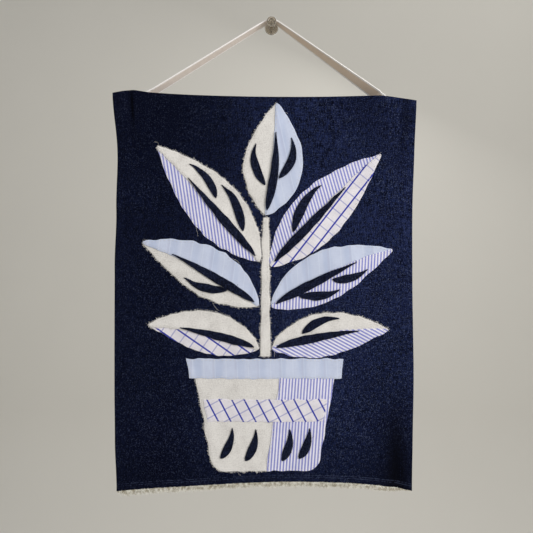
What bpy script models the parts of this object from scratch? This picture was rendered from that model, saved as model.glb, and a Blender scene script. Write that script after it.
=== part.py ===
"""A small denim banner with fabric applique, hung by a cotton tape from a push pin.

Frame: +X to the right seen from the front, +Z up, the front faces -Y. The plane y = 0 is the surface
that the pin is pushed into, and the origin is the centre of the pin's flange on that plane.
Sizes are in millimetres. "Out" is the distance from the plane y = 0 towards the viewer.
"""

from collections import namedtuple

import bpy
import numpy as np

MM = 0.001

# The gap between two pieces that touch, the thickness of one layer of denim and of one applique cloth
GAP = 0.3
DENIM_LAYER = 1.1
PATCH_THICKNESS = 1.0

# Denim panel: side edges, top and bottom edge
TOP_Z = -54.75
BOTTOM_Z = -356.8
# The side edges: how far below the top, x of the left edge there and x of the right edge
SIDES = (
    (0.0, -118.3, 108.7),
    (42.0, -116.1, 108.0),
    (86.0, -118.3, 107.5),
    (132.0, -120.1, 107.9),
    (224.0, -120.3, 108.9),
    (262.0, -120.2, 108.4),
    (302.0, -119.0, 108.0),
)
LEFT_X = SIDES[0][1]
RIGHT_X = SIDES[0][2]
TOP_SAG = 0.6
TOP_TILT = 0.0097
BOTTOM_ARCH = 7.3
BOTTOM_ARCH_X = 20.0
ARCH_POWER_LEFT = 1.65
ARCH_POWER_RIGHT = 2.6
SIDE_HEM = 11.0
TOP_HEM = 24.0
HEM_STEP = 0.5
STAND_TOP = 7.0
STAND_BOTTOM = 4.5
WAVE_OUT = 0.45
WAVE_PITCH_X = 104.0
WAVE_PITCH_Z = 151.0
SIDE_HEM_CELLS = 4
TOP_HEM_CELLS = 5
FIELD_COLUMNS = 24
FIELD_ROWS = 22
SIDE_CROWDING = 0.65
SETTLING_ROUNDS = 6

# How each top corner curls: out at the corner and its reach, the free flap outside the crease, the
# crease's own depth, how far the corner droops and over what width, and the small rise at the crease
Corner = namedtuple("Corner", "curl flap crease droop droop_width rise")
LEFT_CORNER = Corner(curl=8.6, flap=2.0, crease=1.7, droop=2.7, droop_width=15.9, rise=1.4)
RIGHT_CORNER = Corner(curl=6.4, flap=1.4, crease=-0.2, droop=4.7, droop_width=26.0, rise=0.0)
DROOP_POWER = 1.18
CURL_REACH_X = 45.0
CURL_REACH_Z = 60.0
CREASE_WIDTH = 2.6
CREASE_REACH = 26.0
RISE_WIDTH = 10.7
TUCK_IN = 12.0
TUCK_DEPTH = 1.4
TUCK_WIDTH = 6.0
TUCK_REACH = 26.0

# Fringe of weft ends along the selvedge
FRINGE_START_X = -117.6
FRINGE_END_X = 106.0
FRINGE_STRANDS = 180
FRINGE_STRIP_HEIGHT = 0.9
FRINGE_THICKNESS = 1.0
FRINGE_LENGTH = 2.4
FRINGE_SPREAD = 0.9
FRINGE_LENGTH_RANGE = (0.6, 1.3)
FRINGE_TAPER = 14.0
FRINGE_LEAST = 0.25
FRINGE_SEED = 7

# Push pin: radius and height of each ring of the spool from the plane outwards, and its needle
PIN_RINGS = (
    (5.10, 0.0), (5.30, 0.3), (5.30, 1.0), (4.90, 1.5), (3.20, 1.9), (2.50, 2.6), (2.30, 4.2),
    (2.30, 7.6), (2.55, 9.3), (3.10, 10.4), (3.65, 11.2), (3.75, 12.1), (3.35, 12.7),
)
PIN_SIDES = 28
NEEDLE_RADIUS = 0.55
NEEDLE_INSIDE = 6.0
NEEDLE_OUTSIDE = 10.5
NEEDLE_POINT = 2.5
NEEDLE_TIP_RADIUS = 0.08
NEEDLE_SIDES = 14
PIN_DOME = 0.1
PIN_SHARP_ANGLE = 50

# Hanging tape
TAPE_WIDTH = 10.0
TAPE_WIDTH_AT_PIN = 7.4
TAPE_THICKNESS = 1.2
TAPE_REST_RADIUS = 3.15
TAPE_OUT_AT_PIN = 6.1
TAPE_TAIL = 14.5
TAPE_TWIST_LENGTH = 9.0
TAPE_PINCH_LENGTH = 18.0
TAPE_TUCK = 0.6
TAPE_RISE = 4.5
TAPE_RISE_LENGTH = 6.0
TAPE_SEAM = 0.4
TAPE_TURN_POWER = 1.3
TAPE_CROWDING = 1.5
TAPE_RUN_CELLS = 10
TAPE_TAIL_CELLS = 8
TAPE_ARC_CELLS = 8
TAPE_SHARP_ANGLE = 40
# The four long edges in order: towards the viewer (1) or away, and on the inner (1) or outer face
TAPE_EDGES = ((1, 1), (1, -1), (-1, -1), (-1, 1))
# Where each run passes behind the top edge, and its turn there from standing on edge (0) to flat (90)
Run = namedtuple("Run", "side edge_x edge_z turn")
LEFT_RUN = Run(side=-1.0, edge_x=-89.9, edge_z=-51.2, turn=10.0)
RIGHT_RUN = Run(side=1.0, edge_x=80.8, edge_z=-53.3, turn=31.0)

# Leaves: base on the stem, tip, sideways bend of the midrib, full width, and the cloth of each half
Leaf = namedtuple("Leaf", "name base tip bend width left right")
LEAVES = (
    Leaf("crown", (-4.2, -145.0), (4.0, -60.0), 2.0, 45.0, "cream", "pale_blue"),
    Leaf("upper_left", (-9.4, -180.0), (-86.0, -94.0), 2.0, 41.0, "striped", "cream"),
    Leaf("upper_right", (-0.6, -184.0), (82.0, -100.0), -2.0, 40.0, "striped", "windowpane"),
    Leaf("middle_left", (-9.8, -214.0), (-98.0, -166.0), 4.0, 37.0, "cream", "pale_blue"),
    Leaf("middle_right", (0.0, -215.0), (92.0, -172.0), -4.0, 38.0, "pale_blue", "striped"),
    Leaf("lower_left", (-10.0, -247.0), (-94.0, -229.0), 4.0, 32.0, "windowpane", "cream"),
    Leaf("lower_right", (0.2, -247.0), (89.0, -233.0), -4.0, 33.0, "cream", "striped"),
)
LEAF_SEAM = 0.4
LEAF_END = 0.7
LEAF_BELLY = 0.85
LEAF_FULLNESS = 0.9
LEAF_CELLS = 10
LEAF_CELLS_ACROSS = 2

# Veins: where each starts and ends as a share of the leaf's length and of its half width to the right
# of the midrib, its full width, and its bow as a share of the half width
Vein = namedtuple("Vein", "leaf name start end width bow")
VEINS = (
    Vein("crown", "mid", (0.04, 0.0), (0.74, 0.0), 6.8, 0.06),
    Vein("crown", "side_1", (0.26, -0.24), (0.62, -0.74), 6.6, -0.14),
    Vein("crown", "side_2", (0.34, 0.26), (0.70, 0.70), 6.4, 0.14),
    Vein("upper_left", "mid", (0.04, 0.0), (0.72, 0.0), 6.6, -0.06),
    Vein("upper_left", "side_1", (0.22, 0.28), (0.54, 0.76), 6.8, 0.14),
    Vein("upper_left", "side_2", (0.50, 0.26), (0.78, 0.66), 6.0, 0.12),
    Vein("upper_right", "mid", (0.04, 0.0), (0.70, 0.0), 6.8, 0.06),
    Vein("upper_right", "side_1", (0.26, -0.26), (0.60, -0.76), 7.0, -0.14),
    Vein("middle_left", "mid", (0.04, 0.0), (0.76, 0.0), 6.6, -0.06),
    Vein("middle_left", "side_1", (0.26, -0.28), (0.60, -0.74), 6.4, -0.14),
    Vein("middle_right", "mid", (0.04, 0.0), (0.72, 0.0), 6.8, 0.06),
    Vein("middle_right", "side_1", (0.22, 0.28), (0.52, 0.76), 6.6, 0.14),
    Vein("middle_right", "side_2", (0.50, 0.26), (0.78, 0.68), 6.0, 0.12),
    Vein("lower_left", "mid", (0.04, 0.0), (0.72, 0.0), 6.4, -0.06),
    Vein("lower_right", "mid", (0.04, 0.0), (0.76, 0.0), 6.6, 0.06),
    Vein("lower_right", "side_1", (0.28, -0.30), (0.60, -0.72), 6.4, -0.14),
)
VEIN_END = 0.5
VEIN_BELLY = 0.7
VEIN_CELLS = 7

# Stem and pot
STEM_BOTTOM = (-4.8, -253.0)
STEM_TOP = (-4.2, -147.0)
STEM_WIDTH_BOTTOM = 7.6
STEM_WIDTH_TOP = 4.4
STEM_CELLS = 10
POT_X = -4.8
RIM_TOP = -255.0
RIM_HEIGHT = 15.0
RIM_WIDTH_TOP = 120.0
RIM_WIDTH_BOTTOM = 116.0
POT_TOP = -271.0
POT_HEIGHT = 70.0
POT_WIDTH_TOP = 106.0
POT_WIDTH_BOTTOM = 80.0
POT_CORNER = 9.0
POT_CORNER_ROWS = np.array([0.5, 0.85, 1.0])
POT_CELLS = 6
POT_CELLS_ACROSS = 8
POT_SEAM_TOP = 12.0
POT_SEAM_BOTTOM = 2.0
BAND_DROP = 15.0
BAND_HEIGHT = 17.0
BAND_MARGIN = 3.0
BAND_CELLS_ACROSS = 12
RIM_ROWS = 3
BAND_ROWS = 4
# Dark strips on the pot, under the band: foot and head of each, and one width and bow for all
PotStrip = namedtuple("PotStrip", "name foot head")
POT_STRIPS = (
    PotStrip("pot_strip_1", (-39.0, -331.0), (-30.0, -308.0)),
    PotStrip("pot_strip_2", (-20.0, -333.0), (-12.0, -309.0)),
    PotStrip("pot_strip_3", (8.0, -333.0), (14.0, -309.0)),
    PotStrip("pot_strip_4", (21.0, -331.0), (29.0, -308.0)),
)
POT_STRIP_WIDTH = 6.4
POT_STRIP_BOW = 2.4

# Colour, roughness and metallic value of each material
FINISHES = {
    "denim": ((0.012, 0.017, 0.050), 0.92, 0.0),
    "selvedge": ((0.62, 0.58, 0.50), 0.95, 0.0),
    "tape": ((0.72, 0.68, 0.67), 0.85, 0.0),
    "clear_plastic": ((0.86, 0.84, 0.78), 0.08, 0.0),
    "needle_steel": ((0.62, 0.60, 0.56), 0.25, 1.0),
    "cream": ((0.70, 0.67, 0.62), 0.95, 0.0),
    "striped": ((0.55, 0.58, 0.78), 0.85, 0.0),
    "pale_blue": ((0.50, 0.60, 0.74), 0.85, 0.0),
    "windowpane": ((0.66, 0.68, 0.78), 0.85, 0.0),
    "dark_denim": ((0.010, 0.013, 0.040), 0.92, 0.0),
}


def clear_scene():
    for old in list(bpy.data.objects):
        bpy.data.objects.remove(old, do_unlink=True)


def finish(name):
    """The material of one cloth or metal, made the first time it is asked for."""
    found = bpy.data.materials.get(name)
    if found:
        return found
    colour, roughness, metallic = FINISHES[name]
    material = bpy.data.materials.new(name)
    material.use_nodes = True
    shader = material.node_tree.nodes["Principled BSDF"]
    shader.inputs["Base Color"].default_value = (*colour, 1.0)
    shader.inputs["Roughness"].default_value = roughness
    shader.inputs["Metallic"].default_value = metallic
    return material


def add_object(name, points, faces, material, sharp_angle=None):
    """One mesh object. points are rows of x, out and z in millimetres."""
    points = np.asarray(points, float)
    places = np.column_stack([points[:, 0], -points[:, 1], points[:, 2]]) * MM
    mesh = bpy.data.meshes.new(name)
    mesh.from_pydata(places.tolist(), [], [list(map(int, face)) for face in faces])
    mesh.materials.append(finish(material))
    if sharp_angle is not None:
        mesh.shade_smooth()
        mesh.set_sharp_from_angle(angle=np.radians(sharp_angle))
    made = bpy.data.objects.new(name, mesh)
    bpy.context.scene.collection.objects.link(made)
    return made


def add_sheet(name, front, back, material):
    """A closed sheet between two grids of the same shape, rows x columns x (x, out, z).

    Rows run down the front as the viewer sees it and columns run to the right, so a front cell
    taken down and then right turns towards the viewer, and a back cell is taken the other way.
    """
    rows, columns = front.shape[:2]
    number = np.arange(rows * columns).reshape(rows, columns)
    behind = number + rows * columns
    faces, rims = [], []
    for grid, order in ((number, 1), (behind, -1)):
        corners = (grid[:-1, :-1], grid[1:, :-1], grid[1:, 1:], grid[:-1, 1:])[::order]
        faces += np.stack([corner.ravel() for corner in corners], axis=1).tolist()
        rims.append(np.concatenate([grid[:-1, 0], grid[-1, :-1], grid[:0:-1, -1], grid[0, :0:-1]]))
    rim, rim_behind = rims
    faces += np.stack([rim, rim_behind, np.roll(rim_behind, -1), np.roll(rim, -1)], axis=1).tolist()
    points = np.concatenate([front.reshape(-1, 3), back.reshape(-1, 3)])
    return add_object(name, points, faces, material)


def side_line(z, column):
    """x of a side edge at height z: the table's rows joined by smooth steps. Column 1 is the left edge."""
    below = TOP_Z - z
    depth, x = np.array(SIDES)[:, [0, column]].T
    row = np.clip(np.searchsorted(depth, below) - 1, 0, depth.size - 2)
    share = np.clip((below - depth[row]) / (depth[row + 1] - depth[row]), 0, 1)
    return x[row] + (x[row + 1] - x[row]) * share**2 * (3 - 2 * share)


def left_edge(z):
    return side_line(z, 1)


def right_edge(z):
    return side_line(z, 2)


def top_edge(x):
    """Height of the panel's top edge: tilted down to the right, a rise at the crease, drooping corners."""
    middle = (LEFT_X + RIGHT_X) / 2
    half = (RIGHT_X - LEFT_X) / 2
    z = TOP_Z + TOP_SAG * (np.abs(x - middle) / half) ** 2 - TOP_TILT * x
    for corner, inward in ((LEFT_CORNER, x - LEFT_X), (RIGHT_CORNER, RIGHT_X - x)):
        z = z + corner.rise * np.exp(-(((inward - SIDE_HEM) / RISE_WIDTH) ** 2))
        z = z - corner.droop * np.clip(1 - inward / corner.droop_width, 0, 1) ** DROOP_POWER
    return z


def bottom_edge(x):
    """Height of the bottom edge: an arch from each corner up to its highest place right of the middle."""
    left = np.clip((BOTTOM_ARCH_X - x) / (BOTTOM_ARCH_X - LEFT_X), 0, 1) ** ARCH_POWER_LEFT
    right = np.clip((x - BOTTOM_ARCH_X) / (RIGHT_X - BOTTOM_ARCH_X), 0, 1) ** ARCH_POWER_RIGHT
    return BOTTOM_Z + BOTTOM_ARCH * (1 - left - right)


def relief(x, z):
    """How far out the denim's front stands at x, z.

    A plane that leans back towards its foot, plus a soft wave each way, plus for each top corner a
    broad curl, a free flap outside the crease and the crease's trough, less a tuck at the right foot.
    """
    below = np.maximum(TOP_Z - z, 0)
    down = below / (TOP_Z - BOTTOM_Z)
    out = STAND_TOP + (STAND_BOTTOM - STAND_TOP) * down
    out = out + WAVE_OUT * np.cos(2 * np.pi * x / WAVE_PITCH_X) * np.sin(2 * np.pi * z / WAVE_PITCH_Z)
    for corner, inward in ((LEFT_CORNER, x - left_edge(z)), (RIGHT_CORNER, right_edge(z) - x)):
        out = out + corner.curl * np.exp(-((inward / CURL_REACH_X) ** 2) - (below / CURL_REACH_Z) ** 2)
        fade = np.exp(-((below / CREASE_REACH) ** 2))
        out = out + corner.flap * np.clip(1 - inward / SIDE_HEM, 0, 1) * fade
        out = out - corner.crease * np.exp(-(((inward - SIDE_HEM) / CREASE_WIDTH) ** 2)) * fade
    above_foot = np.maximum(z - BOTTOM_Z, 0)
    across = (right_edge(z) - x - TUCK_IN) / TUCK_WIDTH
    return out - TUCK_DEPTH * np.exp(-(across**2) - (above_foot / TUCK_REACH) ** 2)


def hem_layers(x, z):
    """Number of denim layers at x, z: one, and one more in the side hems and in the top hem."""
    inward = np.minimum(x - left_edge(z), right_edge(z) - x)
    middle_of_step = HEM_STEP / 2
    side = inward < SIDE_HEM + middle_of_step
    top = top_edge(x) - z < TOP_HEM + middle_of_step
    return 1.0 + side + top


def column_lines(width):
    """Distances of the panel's columns from its left edge, with a close pair at each hem's inner edge.

    Between the hems they crowd towards both sides, where the creases are.
    """
    hem = np.linspace(0, SIDE_HEM, SIDE_HEM_CELLS + 1)
    share = np.linspace(0, 1, FIELD_COLUMNS + 1)
    crowded = (1 - SIDE_CROWDING) * share + SIDE_CROWDING * (1 - np.cos(np.pi * share)) / 2
    inner = SIDE_HEM + HEM_STEP
    return np.concatenate([hem, inner + (width - 2 * inner) * crowded, width - hem[::-1]])


def row_lines(height):
    """Distances of the panel's rows from its top edge, with a close pair at the top hem's lower edge."""
    hem = np.linspace(0, TOP_HEM, TOP_HEM_CELLS + 1)
    return np.concatenate([hem, np.linspace(TOP_HEM + HEM_STEP, height, FIELD_ROWS + 1)])


def make_panel():
    width = RIGHT_X - LEFT_X
    height = TOP_Z - BOTTOM_Z
    x_top, drop = np.meshgrid(LEFT_X + column_lines(width), row_lines(height))
    # The hems keep their full depth. What lies between the side hems, and under the top one, stretches.
    inner = SIDE_HEM + HEM_STEP
    share = np.clip((x_top - LEFT_X - inner) / (width - 2 * inner), 0, 1)
    rest = np.clip((drop - TOP_HEM) / (height - TOP_HEM), 0, 1)
    x = x_top
    for _ in range(SETTLING_ROUNDS):
        top = top_edge(x)
        hung = top - TOP_HEM + (bottom_edge(x) - top + TOP_HEM) * rest
        z = np.where(drop <= TOP_HEM, top - drop, hung)
        x = x_top + (left_edge(z) - LEFT_X) * (1 - share) + (right_edge(z) - RIGHT_X) * share
    out = relief(x, z)
    front = np.stack([x, out, z], axis=2)
    back = np.stack([x, out - DENIM_LAYER * hem_layers(x, z), z], axis=2)
    add_sheet("denim_panel", front, back, "denim")


def make_fringe():
    """A narrow strip under the bottom edge whose lower face is drawn out into pointed strands."""
    generator = np.random.default_rng(FRINGE_SEED)
    x = np.linspace(FRINGE_START_X, FRINGE_END_X, FRINGE_STRANDS + 1)
    top = bottom_edge(x) - GAP
    foot = top - FRINGE_STRIP_HEIGHT
    middle = relief(x, bottom_edge(x)) - DENIM_LAYER / 2
    near = middle + FRINGE_THICKNESS / 2
    far = middle - FRINGE_THICKNESS / 2
    rings = [(near, top), (near, foot), (far, foot), (far, top)]
    points = np.concatenate([np.column_stack([x, out, z]) for out, z in rings])
    near_top, near_foot, far_foot, far_top = np.arange(4 * x.size).reshape(4, -1)
    faces = [[near_top[0], far_top[0], far_foot[0], near_foot[0]]]
    faces += [[near_top[-1], near_foot[-1], far_foot[-1], far_top[-1]]]
    for one, two in ((near_top, near_foot), (far_foot, far_top), (far_top, near_top)):
        faces += np.stack([one[:-1], two[:-1], two[1:], one[1:]], axis=1).tolist()
    centre = (x[:-1] + x[1:]) / 2
    fullness = np.clip((FRINGE_END_X - centre) / FRINGE_TAPER, FRINGE_LEAST, 1)
    length = FRINGE_LENGTH * generator.uniform(*FRINGE_LENGTH_RANGE, centre.size) * fullness
    lean = FRINGE_SPREAD * generator.uniform(-1, 1, (2, centre.size))
    tip_out = (middle[:-1] + middle[1:]) / 2 + lean[1]
    tips = np.column_stack([centre + lean[0], tip_out, (foot[:-1] + foot[1:]) / 2 - length])
    tip = len(points) + np.arange(centre.size)
    for one, two in (
        (near_foot[:-1], near_foot[1:]), (near_foot[1:], far_foot[1:]),
        (far_foot[1:], far_foot[:-1]), (far_foot[:-1], near_foot[:-1]),
    ):
        faces += np.stack([one, tip, two], axis=1).tolist()
    add_object("selvedge_fringe", np.concatenate([points, tips]), faces, "selvedge")


def add_turned(name, rings, sides, material):
    """A solid turned about the pin's axis. rings run from the axis, round the outside, to the axis."""
    angle = np.linspace(0, 2 * np.pi, sides, endpoint=False)
    start, *outer, end = rings
    points = [(0.0, start[1], 0.0), (0.0, end[1], 0.0)]
    for radius, out in outer:
        points += list(zip(radius * np.cos(angle), np.full(sides, out), radius * np.sin(angle)))
    ring = 2 + np.arange(len(outer) * sides).reshape(len(outer), sides)
    after = np.roll(ring, -1, axis=1)
    faces = [[0, two, one] for one, two in zip(ring[0], after[0])]
    for low in range(len(outer) - 1):
        cells = ring[low], after[low], after[low + 1], ring[low + 1]
        faces += np.stack(cells, axis=1).tolist()
    faces += [[1, one, two] for one, two in zip(ring[-1], after[-1])]
    add_object(name, points, faces, material, PIN_SHARP_ANGLE)


def make_pin():
    bore = NEEDLE_RADIUS + GAP
    bore_end = NEEDLE_INSIDE + GAP
    top = PIN_RINGS[-1][1] + PIN_DOME
    rings = [(0.0, bore_end), (bore, bore_end), (bore, 0.0), *PIN_RINGS, (0.0, top)]
    add_turned("push_pin", rings, PIN_SIDES, "clear_plastic")
    rings = [
        (0.0, -NEEDLE_OUTSIDE),
        (NEEDLE_TIP_RADIUS, NEEDLE_TIP_RADIUS - NEEDLE_OUTSIDE),
        (NEEDLE_RADIUS, NEEDLE_POINT - NEEDLE_OUTSIDE),
        (NEEDLE_RADIUS, NEEDLE_INSIDE),
        (0.0, NEEDLE_INSIDE),
    ]
    add_turned("pin_needle", rings, NEEDLE_SIDES, "needle_steel")


def tape_run(run, stations):
    """Centre, direction, turn and width of one run, from its tangent point on the pin to its end.

    stations are shares of the free length, past 1 along the tail behind the hem.
    """
    radius = TAPE_REST_RADIUS + TAPE_THICKNESS / 2
    reach = np.hypot(run.edge_x, run.edge_z)
    # The run is tangent to a circle round the pin's axis, so its slope follows from the far point
    slope = np.arctan2(-run.edge_z, abs(run.edge_x)) + np.arcsin(radius / reach)
    tangent = np.array([run.side * radius * np.sin(slope), radius * np.cos(slope)])
    heading = np.array([run.side * np.cos(slope), -np.sin(slope)])
    free = np.sqrt(reach**2 - radius**2)
    along = stations * free
    past = np.clip((along - free) / TAPE_TWIST_LENGTH, 0, 1)
    past = past * past * (3 - 2 * past)
    turn = run.turn * np.clip(stations, 0, 1) ** TAPE_TURN_POWER + (90 - run.turn) * past
    grow = np.clip(along / TAPE_PINCH_LENGTH, 0, 1)
    width = TAPE_WIDTH_AT_PIN + (TAPE_WIDTH - TAPE_WIDTH_AT_PIN) * grow * (2 - grow)
    centre = tangent + along[:, None] * heading
    return centre, heading, np.radians(turn), width


def hem_back(x, z):
    """How far out the back of the top hem is, read inside the hem so that it also holds above it."""
    inside = np.minimum(z, top_edge(x) - HEM_STEP)
    return relief(x, inside) - DENIM_LAYER * hem_layers(x, inside)


def tape_rows(run, stations):
    """The four long edges of a run as stations x 4 x (x, out, z), and the run's direction.

    The width turns from along the pin's axis to flat behind the hem. There each edge follows the
    hem's back, a seam's gap behind it.
    """
    centre, heading, turn, width = tape_run(run, stations)
    upward = np.array([run.side * -heading[1], run.side * heading[0]])
    # Half the width and half the thickness, each with its share across the run and its share outwards
    wide_up, wide_out = width / 2 * np.sin(turn), width / 2 * np.cos(turn)
    thick_up, thick_out = TAPE_THICKNESS / 2 * np.cos(turn), TAPE_THICKNESS / 2 * np.sin(turn)
    # Past the edge the tape drops, so that its upper border goes under the hem's top and stays there
    past = np.maximum(stations - 1, 0) * np.hypot(run.edge_x, run.edge_z)
    ceiling = top_edge(centre[:, 0]) - TAPE_TUCK + TAPE_RISE * np.clip(1 - past / TAPE_RISE_LENGTH, 0, 1)
    crest = centre[:, 1] + (wide_up + thick_up) * upward[1]
    centre[:, 1] -= np.where(stations > 1, np.maximum(crest - ceiling, 0), 0)
    behind_out = hem_back(centre[:, 0], centre[:, 1]) - TAPE_SEAM - wide_out - thick_out
    edge_out = behind_out[stations == 1]
    free_out = TAPE_OUT_AT_PIN + (edge_out - TAPE_OUT_AT_PIN) * np.clip(stations, 0, 1)
    middle_out = np.where(stations > 1, behind_out, free_out)
    follow = np.where(stations > 1, np.sin(turn) ** 2, 0)
    rows = []
    for border, face in TAPE_EDGES:
        place = centre + (border * wide_up - face * thick_up)[:, None] * upward
        surface = hem_back(place[:, 0], place[:, 1]) - TAPE_SEAM
        laid = surface + (face - 1) * TAPE_THICKNESS / 2
        out = (1 - follow) * (middle_out + border * wide_out + face * thick_out) + follow * laid
        over_hem = place[:, 1] < top_edge(place[:, 0]) + TAPE_THICKNESS
        out = np.where(over_hem, np.minimum(out, surface), out)
        rows.append(np.column_stack([place[:, 0], out, place[:, 1]]))
    return np.stack(rows, axis=1), heading


def make_tape():
    free_stations = 1 - (1 - np.linspace(0, 1, TAPE_RUN_CELLS + 1)) ** TAPE_CROWDING
    reach = np.hypot(LEFT_RUN.edge_x, LEFT_RUN.edge_z)
    tail_stations = 1 + np.linspace(0, 1, TAPE_TAIL_CELLS + 1)[1:] * TAPE_TAIL / reach
    stations = np.concatenate([free_stations, tail_stations])
    left, left_heading = tape_rows(LEFT_RUN, stations)
    right, right_heading = tape_rows(RIGHT_RUN, stations)
    # Over the pin: an arc whose normal turns from the left run's to the right run's
    start = np.pi / 2 + np.arctan2(-left_heading[1], -left_heading[0])
    end = np.pi / 2 - np.arctan2(-right_heading[1], right_heading[0])
    normals = np.linspace(start, end, TAPE_ARC_CELLS + 1)[1:-1]
    radius = TAPE_REST_RADIUS + TAPE_THICKNESS / 2
    arc = []
    for border, face in TAPE_EDGES:
        ring = radius - face * TAPE_THICKNESS / 2
        out = np.full(normals.size, TAPE_OUT_AT_PIN + border * TAPE_WIDTH_AT_PIN / 2)
        arc.append(np.column_stack([ring * np.cos(normals), out, ring * np.sin(normals)]))
    arc = np.stack(arc, axis=1)
    rows = np.concatenate([left[::-1], arc, right])
    count = len(rows)
    number = np.arange(count * 4).reshape(count, 4)
    after = np.roll(number, -1, axis=1)
    cells = number[:-1], number[1:], after[1:], after[:-1]
    faces = np.stack([cell.ravel() for cell in cells], axis=1).tolist()
    faces += [number[0].tolist(), number[-1, ::-1].tolist()]
    add_object("hanging_tape", rows.reshape(-1, 3), faces, "tape", TAPE_SHARP_ANGLE)


def lay_on(places, layer):
    """Front and back grids of a cloth laid on the panel. places is rows x columns x (x, z)."""
    x, z = places[..., 0], places[..., 1]
    back = relief(x, z) + GAP * layer + PATCH_THICKNESS * (layer - 1)
    front = back + PATCH_THICKNESS
    return np.stack([x, front, z], axis=2), np.stack([x, back, z], axis=2)


def add_patch(name, places, layer, cloth):
    front, back = lay_on(places, layer)
    down = places[-1, 0] - places[0, 0]
    right = places[0, -1] - places[0, 0] + places[-1, -1] - places[-1, 0]
    # Rows and columns that turn the other way round are taken in reverse, so that faces point out
    if down[0] * right[1] - down[1] * right[0] < 0:
        front, back = front[:, ::-1], back[:, ::-1]
    add_sheet(name, front, back, cloth)


def ribbon(line, low, high, columns):
    """A strip along a line of (x, z) places, one row for each place.

    low and high are the two edges' distances to the left of the line, looking along it.
    """
    along = np.gradient(line, axis=0)
    along /= np.linalg.norm(along, axis=1)[:, None]
    leftward = np.column_stack([-along[:, 1], along[:, 0]])
    across = np.linspace(0, 1, columns + 1)
    offset = low[:, None] + (high - low)[:, None] * across
    return line[:, None, :] + offset[..., None] * leftward[:, None, :]


def bent_line(start, end, bend, share):
    """Places from start to end on a parabola that stands bend to the right of the straight line."""
    start, end = np.array(start, float), np.array(end, float)
    along = (end - start) / np.linalg.norm(end - start)
    rightward = np.array([along[1], -along[0]])
    return start + share[:, None] * (end - start) + (4 * bend * share * (1 - share))[:, None] * rightward


def leaf_half_width(leaf, share):
    """Half width along a leaf: a sine drawn towards the base, with a blunt cut at both ends."""
    return LEAF_END + (leaf.width / 2 - LEAF_END) * np.sin(np.pi * share**LEAF_BELLY) ** LEAF_FULLNESS


def make_leaves():
    share = np.linspace(0, 1, LEAF_CELLS + 1)
    for leaf in LEAVES:
        midrib = bent_line(leaf.base, leaf.tip, leaf.bend, share)
        width = leaf_half_width(leaf, share)
        seam = np.full(share.size, LEAF_SEAM / 2)
        halves = (("left", leaf.left, seam, width), ("right", leaf.right, -width, -seam))
        for side, cloth, low, high in halves:
            add_patch(f"leaf_{leaf.name}_{side}", ribbon(midrib, low, high, LEAF_CELLS_ACROSS), 1, cloth)


def tapered(width):
    """Half width along a hand-cut strip: fullest a third of the way along, with two narrow ends."""
    share = np.linspace(0, 1, VEIN_CELLS + 1)
    return VEIN_END / 2 + (width - VEIN_END) / 2 * np.sin(np.pi * share**VEIN_BELLY)


def vein_line(leaf, vein):
    """The middle of a vein: shares of the leaf's length and half width, each run from start to end."""
    step = np.linspace(0, 1, VEIN_CELLS + 1)
    share = vein.start[0] + (vein.end[0] - vein.start[0]) * step
    side = vein.start[1] + (vein.end[1] - vein.start[1]) * step + vein.bow * 4 * step * (1 - step)
    midrib = bent_line(leaf.base, leaf.tip, leaf.bend, share)
    along = np.gradient(midrib, axis=0)
    along /= np.linalg.norm(along, axis=1)[:, None]
    rightward = np.column_stack([along[:, 1], -along[:, 0]])
    return midrib + (side * leaf_half_width(leaf, share))[:, None] * rightward


def make_veins():
    by_name = {leaf.name: leaf for leaf in LEAVES}
    for vein in VEINS:
        half = tapered(vein.width)
        places = ribbon(vein_line(by_name[vein.leaf], vein), -half, half, 1)
        add_patch(f"vein_{vein.leaf}_{vein.name}", places, 2, "dark_denim")


def pot_half_width(z):
    """Half width of the pot at height z, its two lower corners rounded."""
    share = (POT_TOP - z) / POT_HEIGHT
    half = (POT_WIDTH_TOP + (POT_WIDTH_BOTTOM - POT_WIDTH_TOP) * share) / 2
    into = np.clip((POT_TOP - z - (POT_HEIGHT - POT_CORNER)) / POT_CORNER, 0, 1)
    return half - POT_CORNER * (1 - np.sqrt(1 - into**2))


def upright_places(z, left, right, columns):
    """Rows at the heights z, each from its own left end to its own right end."""
    x = left[:, None] + (right - left)[:, None] * np.linspace(0, 1, columns + 1)
    return np.stack([x, np.broadcast_to(z[:, None], x.shape)], axis=2)


def make_pot():
    z = np.linspace(RIM_TOP, RIM_TOP - RIM_HEIGHT, RIM_ROWS)
    half = np.linspace(RIM_WIDTH_TOP, RIM_WIDTH_BOTTOM, RIM_ROWS) / 2
    add_patch("pot_rim", upright_places(z, POT_X - half, POT_X + half, BAND_CELLS_ACROSS), 1, "pale_blue")
    straight = np.linspace(0, POT_HEIGHT - POT_CORNER, POT_CELLS + 1)
    corner = POT_HEIGHT - POT_CORNER * (1 - POT_CORNER_ROWS)
    z = POT_TOP - np.concatenate([straight, corner])
    half = pot_half_width(z)
    seam = POT_X + POT_SEAM_TOP + (POT_SEAM_BOTTOM - POT_SEAM_TOP) * (POT_TOP - z) / POT_HEIGHT
    body = upright_places(z, POT_X - half, seam - LEAF_SEAM / 2, POT_CELLS_ACROSS)
    side = upright_places(z, seam + LEAF_SEAM / 2, POT_X + half, POT_CELLS_ACROSS)
    add_patch("pot_body", body, 1, "cream")
    add_patch("pot_side", side, 1, "striped")
    z = POT_TOP - BAND_DROP - np.linspace(0, BAND_HEIGHT, BAND_ROWS)
    half = pot_half_width(z) - BAND_MARGIN
    add_patch("pot_band", upright_places(z, POT_X - half, POT_X + half, BAND_CELLS_ACROSS), 2, "windowpane")
    for strip in POT_STRIPS:
        line = bent_line(strip.foot, strip.head, POT_STRIP_BOW, np.linspace(0, 1, VEIN_CELLS + 1))
        half = tapered(POT_STRIP_WIDTH)
        add_patch(strip.name, ribbon(line, -half, half, 1), 2, "dark_denim")


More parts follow.
